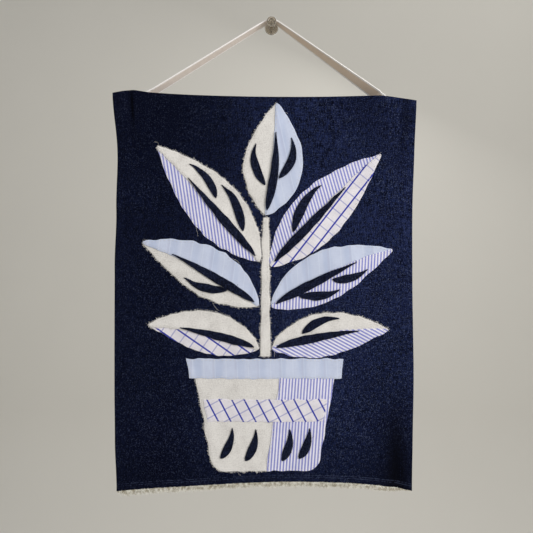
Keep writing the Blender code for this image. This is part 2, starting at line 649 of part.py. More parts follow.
def make_stem():
    half = np.linspace(STEM_WIDTH_BOTTOM, STEM_WIDTH_TOP, STEM_CELLS + 1) / 2
    line = bent_line(STEM_BOTTOM, STEM_TOP, 0.0, np.linspace(0, 1, STEM_CELLS + 1))
    add_patch("stem", ribbon(line, -half, half, 1), 1, "cream")


clear_scene()
make_panel()
make_fringe()
make_pin()
make_tape()
make_stem()
make_leaves()
make_veins()
make_pot()
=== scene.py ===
from collections import namedtuple
from functools import partial, partialmethod

import bpy
import numpy as np
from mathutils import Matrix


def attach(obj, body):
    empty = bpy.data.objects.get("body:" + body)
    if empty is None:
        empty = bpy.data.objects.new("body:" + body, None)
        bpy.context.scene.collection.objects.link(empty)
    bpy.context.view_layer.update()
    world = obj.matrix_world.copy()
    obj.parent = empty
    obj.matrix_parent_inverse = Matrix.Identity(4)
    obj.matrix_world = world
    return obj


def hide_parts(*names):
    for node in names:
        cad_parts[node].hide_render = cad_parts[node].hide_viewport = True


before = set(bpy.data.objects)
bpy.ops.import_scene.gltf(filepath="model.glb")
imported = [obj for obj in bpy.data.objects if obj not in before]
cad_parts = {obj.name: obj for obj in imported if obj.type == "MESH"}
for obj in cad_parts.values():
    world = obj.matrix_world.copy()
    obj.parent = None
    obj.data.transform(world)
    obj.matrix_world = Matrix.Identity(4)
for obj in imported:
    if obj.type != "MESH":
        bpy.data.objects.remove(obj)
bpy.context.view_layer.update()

# Denim panel. One piece of dark indigo twill about 0.85 mm thick. Its sides and top are turned back as
# hems, the top one deeper, and its foot is the cloth's own selvedge. Both top corners curl forward.
# Sizes are in millimetres; x runs to the right, z up, and "out" from the pin's plane to the viewer.

MM = 0.001
DENIM_LAYER = 0.85
TOP_Z = -54.75
BOTTOM_Z = -356.8
# The side edges: how far below the top, x of the left edge there and x of the right edge
SIDES = (
    (0.0, -118.3, 108.7),
    (42.0, -116.1, 108.0),
    (86.0, -118.3, 107.5),
    (132.0, -120.1, 107.9),
    (224.0, -120.3, 108.9),
    (262.0, -120.2, 108.4),
    (302.0, -119.0, 108.0),
)
LEFT_X = SIDES[0][1]
RIGHT_X = SIDES[0][2]
TOP_SAG = 0.6
TOP_TILT = 0.0097
BOTTOM_ARCH = 7.3
BOTTOM_ARCH_X = 20.0
ARCH_POWER_LEFT = 1.65
ARCH_POWER_RIGHT = 2.6
SIDE_HEM = 11.0
TOP_HEM = 24.0
HEM_STEP = 0.6
FOLD_SHARE = 0.98
STAND_TOP = 7.0
STAND_BOTTOM = 4.5
WAVE_OUT = 0.45
WAVE_PITCH_X = 104.0
WAVE_PITCH_Z = 151.0
# A top corner's curl, its flap and the crease beside it with its notch, and on the top edge the crease's
# own rise, narrow and broad, and the corner's droop
Corner = namedtuple("Corner", "curl flap crease notch lift rise droop droop_width")
LEFT_CORNER = Corner(8.6, flap=2.0, crease=1.7, notch=0.4, lift=0.5, rise=1.4, droop=2.7, droop_width=15.9)
RIGHT_CORNER = Corner(6.4, flap=1.4, crease=-0.2, notch=0.0, lift=0.0, rise=0.0, droop=4.7, droop_width=26.0)
DROOP_POWER = 1.18
CURL_REACH_X = 45.0
CURL_REACH_Z = 60.0
CREASE_WIDTH = 2.6
CREASE_REACH = 26.0
NOTCH_IN = 13.6
NOTCH_WIDTH = 0.9
NOTCH_START = 7.0
RISE_WIDTH = 10.7
TUCK_IN = 12.0
TUCK_DEPTH = 1.4
TUCK_WIDTH = 6.0
TUCK_REACH = 26.0
# Size, pitch and seed of the shallow buckles of hung denim, large and small
BUCKLES = ((0.16, 46.0, 3), (0.05, 13.0, 4))
NOISE_WAVES = 6
NOISE_LENGTHS = (0.7, 1.6)
FOLD_CELLS = 6
HEM_CELLS = 9
STEP_CELLS = 2
CREASE_END = 17.6
CREASE_CELLS = 10
PANEL_COLUMNS = 108
PANEL_ROWS = 150
SETTLING_ROUNDS = 6
SHARP_ANGLE = 55


def bell(at, middle, width):
    """1 at the middle, less on both sides: e to the minus square of the distance over the width."""
    return np.exp(-(((at - middle) / width) ** 2))


def ease(share):
    """A smooth step from 0 to 1, level at both ends: three squares less two cubes."""
    share = np.clip(share, 0, 1)
    return share**2 * (3 - 2 * share)


def side_line(z, column):
    """x of a side edge at height z: the table's rows joined by smooth steps."""
    depth, x = np.array(SIDES)[:, [0, column]].T
    row = np.clip(np.searchsorted(depth, TOP_Z - z) - 1, 0, depth.size - 2)
    return x[row] + (x[row + 1] - x[row]) * ease((TOP_Z - z - depth[row]) / (depth[row + 1] - depth[row]))


left_edge = partial(side_line, column=1)
right_edge = partial(side_line, column=2)


def top_edge(x):
    """A tilted line, plus a broad and a narrow bell at a crease, less a power curve at each corner."""
    middle, half = (LEFT_X + RIGHT_X) / 2, (RIGHT_X - LEFT_X) / 2
    z = TOP_Z + TOP_SAG * (np.abs(x - middle) / half) ** 2 - TOP_TILT * x
    for corner, inward in ((LEFT_CORNER, x - LEFT_X), (RIGHT_CORNER, RIGHT_X - x)):
        z = z + corner.rise * bell(inward, SIDE_HEM, RISE_WIDTH)
        z = z + corner.lift * bell(inward, SIDE_HEM, CREASE_WIDTH)
        z = z - corner.droop * np.clip(1 - inward / corner.droop_width, 0, 1) ** DROOP_POWER
    return z


def bottom_edge(x):
    """An arch: a power curve up from each foot to its highest place, right of the middle."""
    left = np.clip((BOTTOM_ARCH_X - x) / (BOTTOM_ARCH_X - LEFT_X), 0, 1) ** ARCH_POWER_LEFT
    right = np.clip((x - BOTTOM_ARCH_X) / (RIGHT_X - BOTTOM_ARCH_X), 0, 1) ** ARCH_POWER_RIGHT
    return BOTTOM_Z + BOTTOM_ARCH * (1 - left - right)


def soft_noise(x, z, pitch, seed):
    """Between about -1 and 1: sine waves of random direction, length and phase, added up."""
    generator = np.random.default_rng(seed)
    angle = generator.uniform(0, np.pi, NOISE_WAVES)
    length = pitch * generator.uniform(*NOISE_LENGTHS, NOISE_WAVES)
    phase = generator.uniform(0, 2 * np.pi, NOISE_WAVES)
    along = np.multiply.outer(x, np.cos(angle)) + np.multiply.outer(z, np.sin(angle))
    return np.sin(2 * np.pi * along / length + phase).sum(axis=-1) * 2 / NOISE_WAVES


def denim_front(x, z):
    """How far out the denim's face stands at x, z.

    A plane that leans back towards its foot, plus one long wave each way and the small buckles, plus
    for each top corner a bell-shaped curl, a flap outside the crease and the crease's trough, with a
    fine notch in the left one, less a tuck at the right foot.
    """
    below = np.maximum(TOP_Z - z, 0)
    out = STAND_TOP + (STAND_BOTTOM - STAND_TOP) * below / (TOP_Z - BOTTOM_Z)
    out = out + WAVE_OUT * np.cos(2 * np.pi * x / WAVE_PITCH_X) * np.sin(2 * np.pi * z / WAVE_PITCH_Z)
    for size, pitch, seed in BUCKLES:
        out = out + size * soft_noise(x, z, pitch, seed)
    near_top = bell(below, 0, CREASE_REACH)
    for corner, inward in ((LEFT_CORNER, x - left_edge(z)), (RIGHT_CORNER, right_edge(z) - x)):
        out = out + corner.curl * bell(inward, 0, CURL_REACH_X) * bell(below, 0, CURL_REACH_Z)
        out = out + corner.flap * np.clip(1 - inward / SIDE_HEM, 0, 1) * near_top
        out = out - corner.crease * bell(inward, SIDE_HEM, CREASE_WIDTH) * near_top
        notch = corner.notch * bell(inward, NOTCH_IN, NOTCH_WIDTH) * near_top
        out = out - notch * np.clip(below / NOTCH_START, 0, 1)
    near_foot = bell(np.maximum(z - BOTTOM_Z, 0), 0, TUCK_REACH)
    return out - TUCK_DEPTH * bell(right_edge(z) - x, TUCK_IN, TUCK_WIDTH) * near_foot


def hem_layers(x, z):
    """One layer, and one more in the side hems and in the top hem, with a short ramp at each step."""
    inward = np.minimum(x - left_edge(z), right_edge(z) - x)
    side = np.clip((SIDE_HEM + HEM_STEP - inward) / HEM_STEP, 0, 1)
    top = np.clip((TOP_HEM + HEM_STEP - top_edge(x) + z) / HEM_STEP, 0, 1)
    return 1.0 + side + top


def denim_back(x, z):
    """The face less the thickness of the layers there."""
    return denim_front(x, z) - DENIM_LAYER * hem_layers(x, z)


def fold_drop(inward):
    """How far a folded edge curves back from its face: a quarter circle of one layer's radius."""
    into = FOLD_SHARE * np.clip(1 - inward / DENIM_LAYER, 0, 1)
    return DENIM_LAYER * (1 - np.sqrt(1 - into**2))


def quads(*corners):
    """Four-sided faces out of four grids of point numbers, one for each corner."""
    return np.stack([corner.ravel() for corner in corners], axis=1)


def rim_of(grid):
    """The closed line round a grid's edge."""
    return np.concatenate([grid[:-1, 0], grid[-1, :-1], grid[:0:-1, -1], grid[0, :0:-1]])


def sheet_shell(front, back):
    """Points and faces of a closed sheet between two grids of one shape, rows x columns x (x, out, z).

    Rows run down the front and columns to the right. Grids that turn the other way are reversed.
    """
    down = front[-1, 0] - front[0, 0]
    right = front[0, -1] - front[0, 0] + front[-1, -1] - front[-1, 0]
    if down[0] * right[2] - down[2] * right[0] < 0:
        front, back = front[:, ::-1], back[:, ::-1]
    near = np.arange(front[..., 0].size).reshape(front.shape[:2])
    far = near + near.size
    faces = [quads(*(grid[:-1, :-1], grid[1:, :-1], grid[1:, 1:], grid[:-1, 1:])[::order])
             for grid, order in ((near, 1), (far, -1))]
    near, far = rim_of(near), rim_of(far)
    faces.append(quads(near, far, np.roll(far, -1), np.roll(near, -1)))
    return np.concatenate([front.reshape(-1, 3), back.reshape(-1, 3)]), faces


def add_object(name, data):
    """An object of a mesh, a lamp or a camera, put in the scene."""
    made = bpy.data.objects.new(name, data)
    bpy.context.scene.collection.objects.link(made)
    return made


def smooth_object(name, places, faces, material):
    """An object at the origin with places in metres, smooth but for its sharp edges."""
    mesh = bpy.data.meshes.new(name)
    mesh.from_pydata(places.tolist(), [], faces)
    mesh.materials.append(material)
    mesh.shade_smooth()
    mesh.set_sharp_from_angle(angle=np.radians(SHARP_ANGLE))
    return add_object(name, mesh)


def make_piece(name, shells, material, replaced=()):
    """One mesh object out of several shells, each a pair of points and a list of face arrays."""
    points, faces, start = [], [], 0
    for shell_points, shell_faces in shells:
        points.append(shell_points)
        for group in shell_faces:
            faces += (group + start).tolist()
        start += len(shell_points)
    points = np.concatenate(points)
    places = np.column_stack([points[:, 0], -points[:, 1], points[:, 2]]) * MM
    piece = smooth_object(name, places, faces, material)
    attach(piece, "root")
    if replaced:
        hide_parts(*replaced)
    return piece, points


def write_attribute(piece, name, values):
    """Stores one number or one vector for each point, for the piece's material to read."""
    kind = "FLOAT" if values.ndim == 1 else "FLOAT_VECTOR"
    layer = piece.data.attributes.new(name, kind, "POINT")
    layer.data.foreach_set("value" if values.ndim == 1 else "vector", values.astype(np.float32).ravel())


class Socket:
    """An output in a material under way. The signs + - * / and ** on it add Math nodes."""

    def __init__(self, paint, link):
        self.paint, self.link = paint, link

    def math(self, operation, *others):
        return self.paint.node("Math", {"operation": operation}, dict(enumerate((self, *others))))

    def __rsub__(self, other):
        return self.paint.node("Math", {"operation": "SUBTRACT"}, {0: other, 1: self})

    __add__ = __radd__ = partialmethod(math, "ADD")
    __sub__ = partialmethod(math, "SUBTRACT")
    __mul__ = __rmul__ = partialmethod(math, "MULTIPLY")
    __truediv__ = partialmethod(math, "DIVIDE")
    __pow__ = partialmethod(math, "POWER")


class Paint:
    """A material under way: its shader's plain values first, then nodes, then what feeds the shader."""

    def __init__(self, name, **plain):
        self.material = bpy.data.materials.new(name)
        self.material.use_nodes = True
        self.tree = self.material.node_tree
        self.shader = self.tree.nodes["Principled BSDF"]
        for word, value in plain.items():
            self.shader.inputs[word.replace("_", " ")].default_value = value

    def node(self, kind, settings, sockets, output=0):
        """Adds one node: its settings first, then each socket's value or link."""
        made = self.tree.nodes.new("ShaderNode" + kind)
        for word, value in settings.items():
            setattr(made, word, value)
        for key, value in sockets.items():
            if isinstance(value, Socket):
                self.tree.links.new(value.link, made.inputs[key])
            else:
                made.inputs[key].default_value = value
        return Socket(self, made.outputs[output])

    def feed(self, **sockets):
        for word, value in sockets.items():
            self.tree.links.new(value.link, self.shader.inputs[word.replace("_", " ")])
        return self.material

    def place(self):
        """The point in millimetres, in the banner's own frame."""
        found = self.node("TexCoord", {}, {}, "Object")
        return self.stretch(found, (1 / MM, 1 / MM, 1 / MM))

    def number(self, name):
        return self.node("Attribute", {"attribute_name": name}, {}, "Fac")

    def vector(self, name):
        return self.node("Attribute", {"attribute_name": name}, {}, "Vector")

    def stretch(self, vector, factors):
        return self.node("VectorMath", {"operation": "MULTIPLY"}, {0: vector, 1: factors})

    def parts(self, vector):
        split = self.node("SeparateXYZ", {}, {0: vector})
        return [Socket(self, out) for out in split.link.node.outputs]

    def noise(self, vector, cells, detail=2.0):
        """Noise from 0 to 1. cells is how many of its cells lie in a millimetre, each way."""
        sockets = {"Vector": self.stretch(vector, cells), "Scale": 1.0, "Detail": detail}
        return self.node("TexNoise", {}, sockets, "Fac")

    def rise(self, value, low, high):
        """0 below low, 1 above high, and a smooth step between."""
        settings = {"interpolation_type": "SMOOTHSTEP"}
        return self.node("MapRange", settings, {"Value": value, "From Min": low, "From Max": high}, "Result")

    def mix(self, share, one, two):
        return self.node("Mix", {"data_type": "RGBA"}, {0: share, 6: one, 7: two}, 2)

    def ridges(self, across, pitch):
        """A sine wave between 0 and 1."""
        return (across * (2 * np.pi / pitch)).math("SINE") * 0.5 + 0.5

    def lines(self, across, pitch, width, soft):
        """1 on lines of one width at one pitch, 0 between them, with soft edges."""
        from_line = ((across / pitch).math("FRACT") - 0.5).math("ABSOLUTE") * pitch
        return 1 - self.rise(from_line, width / 2 - soft, width / 2 + soft)

    def bump(self, height, depth, strength=1.0):
        """Normals of a surface raised by height times depth, in millimetres."""
        sockets = {"Height": height, "Distance": depth * MM, "Strength": strength}
        return self.node("Bump", {}, sockets, "Normal")


def colour(red, green, blue):
    """A screen colour of 0 to 255 as the linear colour that a socket takes, by the sRGB rule."""
    share = np.array([red, green, blue]) / 255
    linear = np.where(share <= 0.04045, share / 12.92, ((share + 0.055) / 1.055) ** 2.4)
    return (*linear.tolist(), 1.0)


# The pitch of the twill's ridges, and of the few pale rows of weft above the foot, with their width and
# the heights between which they fade in and out
TWILL_PITCH = 0.62
FOOT_ROW_PITCH = 1.55
FOOT_ROW_WIDTH = 0.5
FOOT_ROWS_START = (2.0, 2.6)
FOOT_ROWS_END = (5.6, 6.2)


def denim_finish(name, dye, faded, weft, wrong_side=None):
    """Warp-faced twill: dyed warp over pale weft, in streaks both ways with small pale flecks.

    The twill's ridges rise to the right. Seen from the wrong side the pale weft lies on top. With wrong_side
    given, the panel's painted light and painted shade are mixed in as well.
    """
    paint = Paint(name, Roughness=0.9, Specular_IOR_Level=0.06)
    place = paint.place()
    x, _, z = paint.parts(place)
    warp = paint.noise(place, (1.5, 0.2, 0.28))
    weft_streak = paint.noise(place, (0.25, 0.2, 1.5))
    cloud = paint.noise(place, (0.03, 0.02, 0.022))
    fleck = paint.noise(place, (1.6, 0.3, 1.3), 1.0)
    twill = paint.ridges(x * 0.87 - z * 0.5, TWILL_PITCH)
    tone = paint.rise(warp * 0.5 + weft_streak * 0.4 + cloud * 0.1 + twill * 0.05, 0.39, 0.72)
    speck = paint.rise(fleck, 0.57, 0.7) * 0.46
    if wrong_side:
        # Painted light: the tone and the flecks darken where the panel's painted light share is low
        fade = paint.number("fade")
        tone, speck = tone * fade, speck * (fade * 0.7 + 0.3)
    cloth = paint.mix(speck, paint.mix(tone, colour(*dye), colour(*faded)), colour(*weft))
    if wrong_side:
        # Painted shade: near black in the left crease and in the tuck at the right foot
        cloth = paint.mix(paint.number("hollow"), cloth, colour(0, 0, 2))
        floats = paint.rise(weft_streak * 0.6 + warp * 0.4 - twill * 0.12, 0.3, 0.6)
        pale = paint.mix(floats, *(colour(*shade) for shade in wrong_side))
        cloth = paint.mix(paint.number("wrong_side"), cloth, pale)
        above = paint.number("above_foot")
        rows = paint.lines(above + weft_streak * 0.5, FOOT_ROW_PITCH, FOOT_ROW_WIDTH, 0.2)
        rows = rows * paint.rise(above, *FOOT_ROWS_START) * (1 - paint.rise(above, *FOOT_ROWS_END))
        broken = paint.rise(paint.noise(place, (0.8, 0.1, 0.7)) * 0.7 + cloud * 0.3, 0.42, 0.58)
        cloth = paint.mix(rows * broken * 0.28, cloth, colour(*weft))
    height = twill * 0.5 + warp * 0.4 + weft_streak * 0.4
    return paint.feed(Base_Color=cloth, Normal=paint.bump(height, depth=0.12, strength=0.7))


def make_panel():
    """The sheet between denim_front and denim_back over rows that follow both the top and the foot.

    The top hem keeps its depth, and the rows under it share out the rest of the height. Both edges'
    columns crowd where the folded edge turns back.
    """
    width = RIGHT_X - LEFT_X
    height = TOP_Z - BOTTOM_Z
    fold = DENIM_LAYER * (1 - np.cos(np.linspace(0, np.pi / 2, FOLD_CELLS + 1)))
    side = np.linspace(DENIM_LAYER, SIDE_HEM, HEM_CELLS + 1)[1:]
    step = SIDE_HEM + np.linspace(0, HEM_STEP, STEP_CELLS + 1)[1:]
    crease = np.linspace(step[-1], CREASE_END, CREASE_CELLS + 1)[1:]
    left = np.concatenate([fold, side, step, crease])
    field = np.linspace(left[-1], width - left[-1], PANEL_COLUMNS + 1)[1:-1]
    across = np.concatenate([left, field, width - left[::-1]])
    side = np.linspace(DENIM_LAYER, TOP_HEM, 2 * HEM_CELLS + 1)[1:]
    step = TOP_HEM + np.linspace(0, HEM_STEP, STEP_CELLS + 1)[1:]
    down = np.concatenate([fold, side, step, np.linspace(step[-1], height, PANEL_ROWS + 1)[1:]])
    x_top, drop = np.meshgrid(LEFT_X + across, down)
    inner = SIDE_HEM + HEM_STEP
    share = np.clip((x_top - LEFT_X - inner) / (width - 2 * inner), 0, 1)
    rest = np.clip((drop - TOP_HEM) / (height - TOP_HEM), 0, 1)
    x = x_top
    for _ in range(SETTLING_ROUNDS):
        top = top_edge(x)
        hung = top - TOP_HEM + (bottom_edge(x) - top + TOP_HEM) * rest
        z = np.where(drop <= TOP_HEM, top - drop, hung)
        x = x_top + (left_edge(z) - LEFT_X) * (1 - share) + (right_edge(z) - RIGHT_X) * share
    turned = fold_drop(np.minimum(np.minimum(x_top - LEFT_X, RIGHT_X - x_top), drop))
    front = np.stack([x, denim_front(x, z) - turned, z], axis=2)
    back = np.stack([x, denim_back(x, z) + turned, z], axis=2)
    attributes = {
        "wrong_side": np.concatenate([np.zeros(x.size), np.clip(2 - hem_layers(x, z), 0, 1).ravel()]),
        "above_foot": np.tile((z - bottom_edge(x)).ravel(), 2),
    }
    # Painted light and painted shade, for the denim's material to read
    for word, values in zip(("fade", "hollow"), painted_denim_light(x, z)):
        attributes[word] = np.tile(values.ravel(), 2)
    return sheet_shell(front, back), attributes


# Painted light across the denim, rising from the left: where it starts and is full, and its share at the
# start
PAINTED_LIGHT_FROM = -95.0
PAINTED_LIGHT_TO = 40.0
LEAST_PAINTED_LIGHT = 0.27
# Spots of painted shade, where a share of the painted light is taken away. Each is a bell in x, or inward
# from the right edge, times a bell below the top edge or above the foot, with the middles and widths that
# are given
Spot = namedtuple("Spot", "share across middle_x width_x upright middle_z width_z")
PAINTED_SHADE_SPOTS = (
    Spot(0.85, "x", -80.0, 55.0, "below", 0.0, 60.0),
    Spot(0.80, "inward", 12.0, 34.0, "above", 0.0, 70.0),
    Spot(0.35, "inward", 40.0, 34.0, "below", 8.0, 34.0),
    Spot(0.60, "inward", 7.5, 4.2, "below", 16.0, 24.0),
)
# A lighter line beside the right fold, added to the painted light
PALE_FOLD_LINE = Spot(0.35, "inward", 13.6, 1.5, "below", 10.0, 16.0)
# Painted shade towards the foot, and the near-black painted shade of the left crease and of the tuck at the
# right foot
FOOT_PAINTED_SHADE = 0.5
FOOT_PAINTED_SHADE_REACH = 26.0
CREASE_PAINTED_SHADE = 0.92
CREASE_PAINTED_SHADE_REACH = 25.0
TUCK_PAINTED_SHADE = Spot(0.78, "inward", 12.5, 8.5, "above", 0.0, 58.0)


def painted_denim_light(x, z):
    """Painted light and painted shade on the denim: a share of light, and a near-black shade for the
    hollows.

    The light share is a smooth step up from the left side to the right, lowered by painted shade towards the
    foot, in broad bells at both top corners and at the right foot, and on the right flap, with a lighter
    line beside the right fold. The painted shade for the hollows is narrow bells in the left crease and in
    the tuck at the right foot, both with a blunt end.
    """
    ways = {"x": x, "inward": right_edge(z) - x, "below": top_edge(x) - z, "above": z - bottom_edge(x)}

    def strength(spot):
        across = bell(ways[spot.across], spot.middle_x, spot.width_x)
        return spot.share * across * bell(ways[spot.upright], spot.middle_z, spot.width_z)

    fade = LEAST_PAINTED_LIGHT + (1 - LEAST_PAINTED_LIGHT) * ease((x - PAINTED_LIGHT_FROM) / (PAINTED_LIGHT_TO - PAINTED_LIGHT_FROM))
    fade = fade * (1 - FOOT_PAINTED_SHADE * bell(ways["above"], 0, FOOT_PAINTED_SHADE_REACH))
    for spot in PAINTED_SHADE_SPOTS:
        fade = fade * (1 - strength(spot))
    crease = CREASE_PAINTED_SHADE * bell(x - left_edge(z), NOTCH_IN, NOTCH_WIDTH)
    crease = crease * np.exp(-((ways["below"] / CREASE_PAINTED_SHADE_REACH) ** 4))
    crease = crease * np.clip(ways["below"] / NOTCH_START, 0, 1)
    tuck = TUCK_PAINTED_SHADE.share * bell(ways["inward"], TUCK_PAINTED_SHADE.middle_x, TUCK_PAINTED_SHADE.width_x)
    tuck = tuck * np.exp(-((ways["above"] / TUCK_PAINTED_SHADE.width_z) ** 4))
    return fade + strength(PALE_FOLD_LINE), np.maximum(crease, tuck)


denim = denim_finish("indigo_denim", dye=(1, 3, 18), faded=(32, 42, 80), weft=(88, 98, 130),
                     wrong_side=((42, 48, 76), (92, 98, 120)))
panel_shell, panel_attributes = make_panel()
panel, _ = make_piece("denim_cloth", [panel_shell], denim, ["denim_panel"])
for word, values in panel_attributes.items():
    write_attribute(panel, word, values)

# Stitching of the hems. Navy sewing thread in short running stitches, 2 mm in from the inner edge of
# the side hems and of the top hem. They show as small dashes on the face and on the back.

STITCH_LENGTH = 1.9
STITCH_PITCH = 3.1
STITCH_RADIUS = 0.13
HEM_STITCH_IN = 2.0
HEM_LINE_END = 2.0
HEM_LINE_POINTS = 120
STITCH_RINGS = 5
STITCH_SIDES = 4
# How high a stitch arches off the cloth, how deep its ends dive and how thick it is, in thread radii
Arch = namedtuple("Arch", "rise dive thickness")
HEM_ARCH = Arch(3.2, 1.6, 1.0)
# A direction that no thread runs along
OFF_THREAD = (0.05, 1.0, 0.03)


def unit(vectors):
    """The vectors at a length of 1."""
    return vectors / np.maximum(np.linalg.norm(vectors, axis=-1, keepdims=True), 1e-9)


def ring_faces(number):
    """Faces between neighbouring rings of points, lines x rings x sides, and one to close each end."""
    after = np.roll(number, -1, axis=2)
    walls = quads(number[:, :-1], number[:, 1:], after[:, 1:], after[:, :-1])
    return [walls, number[:, 0], number[:, -1, ::-1]]


def tubes(lines, radius, sides=3):
    """Closed thin tubes along many lines at once, lines x rings x (x, out, z).

    A ring's points stand radius off the line, in the plane across it. radius holds one number for
    each ring.
    """
    along = unit(np.gradient(lines, axis=1))
    across = unit(np.cross(along, np.array(OFF_THREAD)))
    outward = np.cross(along, across)
    turn = np.linspace(0, 2 * np.pi, sides, endpoint=False)
    ring = across[:, :, None] * np.cos(turn)[:, None] + outward[:, :, None] * np.sin(turn)[:, None]
    points = lines[:, :, None] + ring * np.asarray(radius)[None, :, None, None]
    number = np.arange(points[..., 0].size).reshape(points.shape[:3])
    return points.reshape(-1, 3), ring_faces(number)


def length_along(line):
    """The length so far at each place of a line."""
    return np.concatenate([[0], np.cumsum(np.linalg.norm(np.diff(line, axis=0), axis=1))])


def read_line(line, reach, at):
    """The line's columns, read at the lengths at."""
    return np.stack([np.interp(at, reach, column) for column in line.T], axis=-1)


def stitch_starts(reach):
    """Where along a line each stitch starts, evenly spaced."""
    return np.arange(STITCH_PITCH / 2, reach[-1] - STITCH_LENGTH, STITCH_PITCH)


def arched(x, out, z, arch, side=1.0):
    """Stitches, lines x rings: a half sine off the cloth whose two ends dive into it."""
    share = np.linspace(0, 1, STITCH_RINGS)
    out = out + side * STITCH_RADIUS * (arch.rise * np.sin(np.pi * share) - arch.dive)
    radius = np.full(STITCH_RINGS, arch.thickness * STITCH_RADIUS)
    return tubes(np.stack([x, out, z], axis=2), radius, STITCH_SIDES)


def running_stitches(line, surface, side=1.0):
    """Straight stitches along a line of (x, z) places.

    surface gives how far out the cloth is, and side is 1 on its face and -1 on its back.
    """
    reach = length_along(line)
    starts = stitch_starts(reach)
    first, last = (read_line(line, reach, at)[:, None] for at in (starts, starts + STITCH_LENGTH))
    flat = first + (last - first) * np.linspace(0, 1, STITCH_RINGS)[:, None]
    x, z = flat[..., 0], flat[..., 1]
    return arched(x, surface(x, z), z, HEM_ARCH, side)


PLY_PITCH = 0.28


def thread_finish(name, low, high):
    """Twisted sewing thread: slanted ply ridges and a slight mottle."""
    paint = Paint(name, Roughness=0.85, Specular_IOR_Level=0.08)
    place = paint.place()
    x, _, z = paint.parts(place)
    ply = paint.ridges(x + z, PLY_PITCH)
    mottle = paint.noise(place, (0.9, 0.9, 0.9))
    tone = paint.rise(mottle * 0.7 + ply * 0.3, 0.25, 0.75)
    shade = paint.mix(tone, colour(*low), colour(*high))
    return paint.feed(Base_Color=shade, Normal=paint.bump(ply, depth=0.05))


def hem_lines():
    """The three stitching lines as (x, z) places: left, top and right."""
    inner = SIDE_HEM - HEM_STITCH_IN
    z = np.linspace(TOP_Z - TOP_HEM, BOTTOM_Z + BOTTOM_ARCH, HEM_LINE_POINTS)
    left = np.column_stack([left_edge(z) + inner, z])
    right = np.column_stack([right_edge(z) - inner, z])
    x = np.linspace(LEFT_X + HEM_LINE_END, RIGHT_X - HEM_LINE_END, HEM_LINE_POINTS)
    return left, np.column_stack([x, top_edge(x) - TOP_HEM + HEM_STITCH_IN]), right


navy_thread = thread_finish("navy_thread", (5, 7, 22), (26, 33, 62))
hem_shells = [running_stitches(line, surface, side) for line in hem_lines()
              for surface, side in ((denim_front, 1.0), (denim_back, -1.0))]
make_piece("hem_stitching", hem_shells, navy_thread)

# Selvedge fringe. Along the foot the cream weft runs out of the cloth's own edge and was clipped short,
# so that it stands as a soft, uneven brush about 3 mm deep, thinner at the right.

FRINGE_START_X = -117.8
FRINGE_END_X = 106.4
FRINGE_TAPER = 14.0
FRINGE_START_TAPER = 4.0
FRINGE_LEAST = 0.3
# Two layers of weft ends: how many, the longest, and the spreads of their slant and of their bend
FRINGE_LAYERS = ((3000, 4.3, 0.3, 0.6), (1800, 3.3, 0.6, 1.0))
# Pitch, size and seed of the tufts that the ends stand in, large and small
FRINGE_TUFTS = ((6.5, 0.16, 21), (2.3, 0.12, 22))
FRINGE_RADIUS = 0.14
FRINGE_ROOT = 0.5
FRINGE_SEED = 7
# The spread of the ends' lengths, and between which shares of the cloth's thickness they leave it
FRINGE_LENGTHS = (0.8, 1.1)
FRINGE_DEPTHS = (0.1, 0.9)
TUFT_MEAN = 0.75
STRAND_RINGS = 4
STRAND_MOST = 1.6
STRAND_OUTWARD = 0.6
STRAND_TIP = 0.45


def brush(x, root_z, middle_out, length, generator, lean, curl):
    """Strands down from an edge: each leaves at a random slant, bends with the square of its length.

    lean is the spread of the slant and curl the spread of the bend, both as shares of the length.
    """
    share = np.linspace(0, 1, STRAND_RINGS)[None, :]
    slant, bend = (
        spread * np.clip(generator.normal(0, 1, (2, x.size, 1)), -STRAND_MOST, STRAND_MOST)
        for spread in (lean, curl))
    reach = length[:, None] * share
    lines = np.stack([
        x[:, None] + reach * (slant[0] + bend[0] * share),
        middle_out[:, None] + STRAND_OUTWARD * reach * (slant[1] + bend[1] * share),
        root_z[:, None] - reach,
    ], axis=2)
    return tubes(lines, FRINGE_RADIUS * np.linspace(1, STRAND_TIP, STRAND_RINGS))


def make_fringe():
    """Strands at random places along the foot, as long as two soft noises along it and both ends allow."""
    generator = np.random.default_rng(FRINGE_SEED)
    shells = []
    for count, longest, lean, curl in FRINGE_LAYERS:
        x = np.sort(generator.uniform(FRINGE_START_X, FRINGE_END_X, count))
        tuft = TUFT_MEAN + sum(size * soft_noise(x, x * 0, pitch, seed)
                               for pitch, size, seed in FRINGE_TUFTS)
        full = np.clip((FRINGE_END_X - x) / FRINGE_TAPER, FRINGE_LEAST, 1)
        full = full * np.clip((x - FRINGE_START_X) / FRINGE_START_TAPER, FRINGE_LEAST, 1)
        length = longest * tuft * full * generator.uniform(*FRINGE_LENGTHS, count)
        foot = bottom_edge(x)
        middle = denim_front(x, foot) - DENIM_LAYER * generator.uniform(*FRINGE_DEPTHS, count)
        shells.append(brush(x, foot + FRINGE_ROOT, middle, length + FRINGE_ROOT, generator, lean, curl))
    return shells


def fringe_finish():
    """Undyed cotton yarn: cream, with greyer, browner patches from a noise, painted as the shade between its
    tufts.
    """
    paint = Paint("cream_weft_ends", Roughness=0.95, Sheen_Weight=0.25)
    place = paint.place()
    tuft = paint.noise(place, (0.45, 0.6, 0.35))
    strand = paint.noise(place, (2.2, 1.0, 0.6))
    tone = paint.rise(tuft * 0.65 + strand * 0.35, 0.4, 0.6)
    # Painted shadow: the darker, browner colour stands for the shade between tufts
    shade = paint.mix(tone, colour(174, 165, 143), colour(242, 240, 231))
    return paint.feed(Base_Color=shade, Normal=paint.bump(strand, depth=0.1))


make_piece("weft_fringe", make_fringe(), fringe_finish(), ["selvedge_fringe"])

# Push pin. A spool moulded in clear plastic with a broad grooved flange, a thin waist that the tape
# rests on and a head with a raised rim. Its steel needle is moulded in, and shows as a dark core.

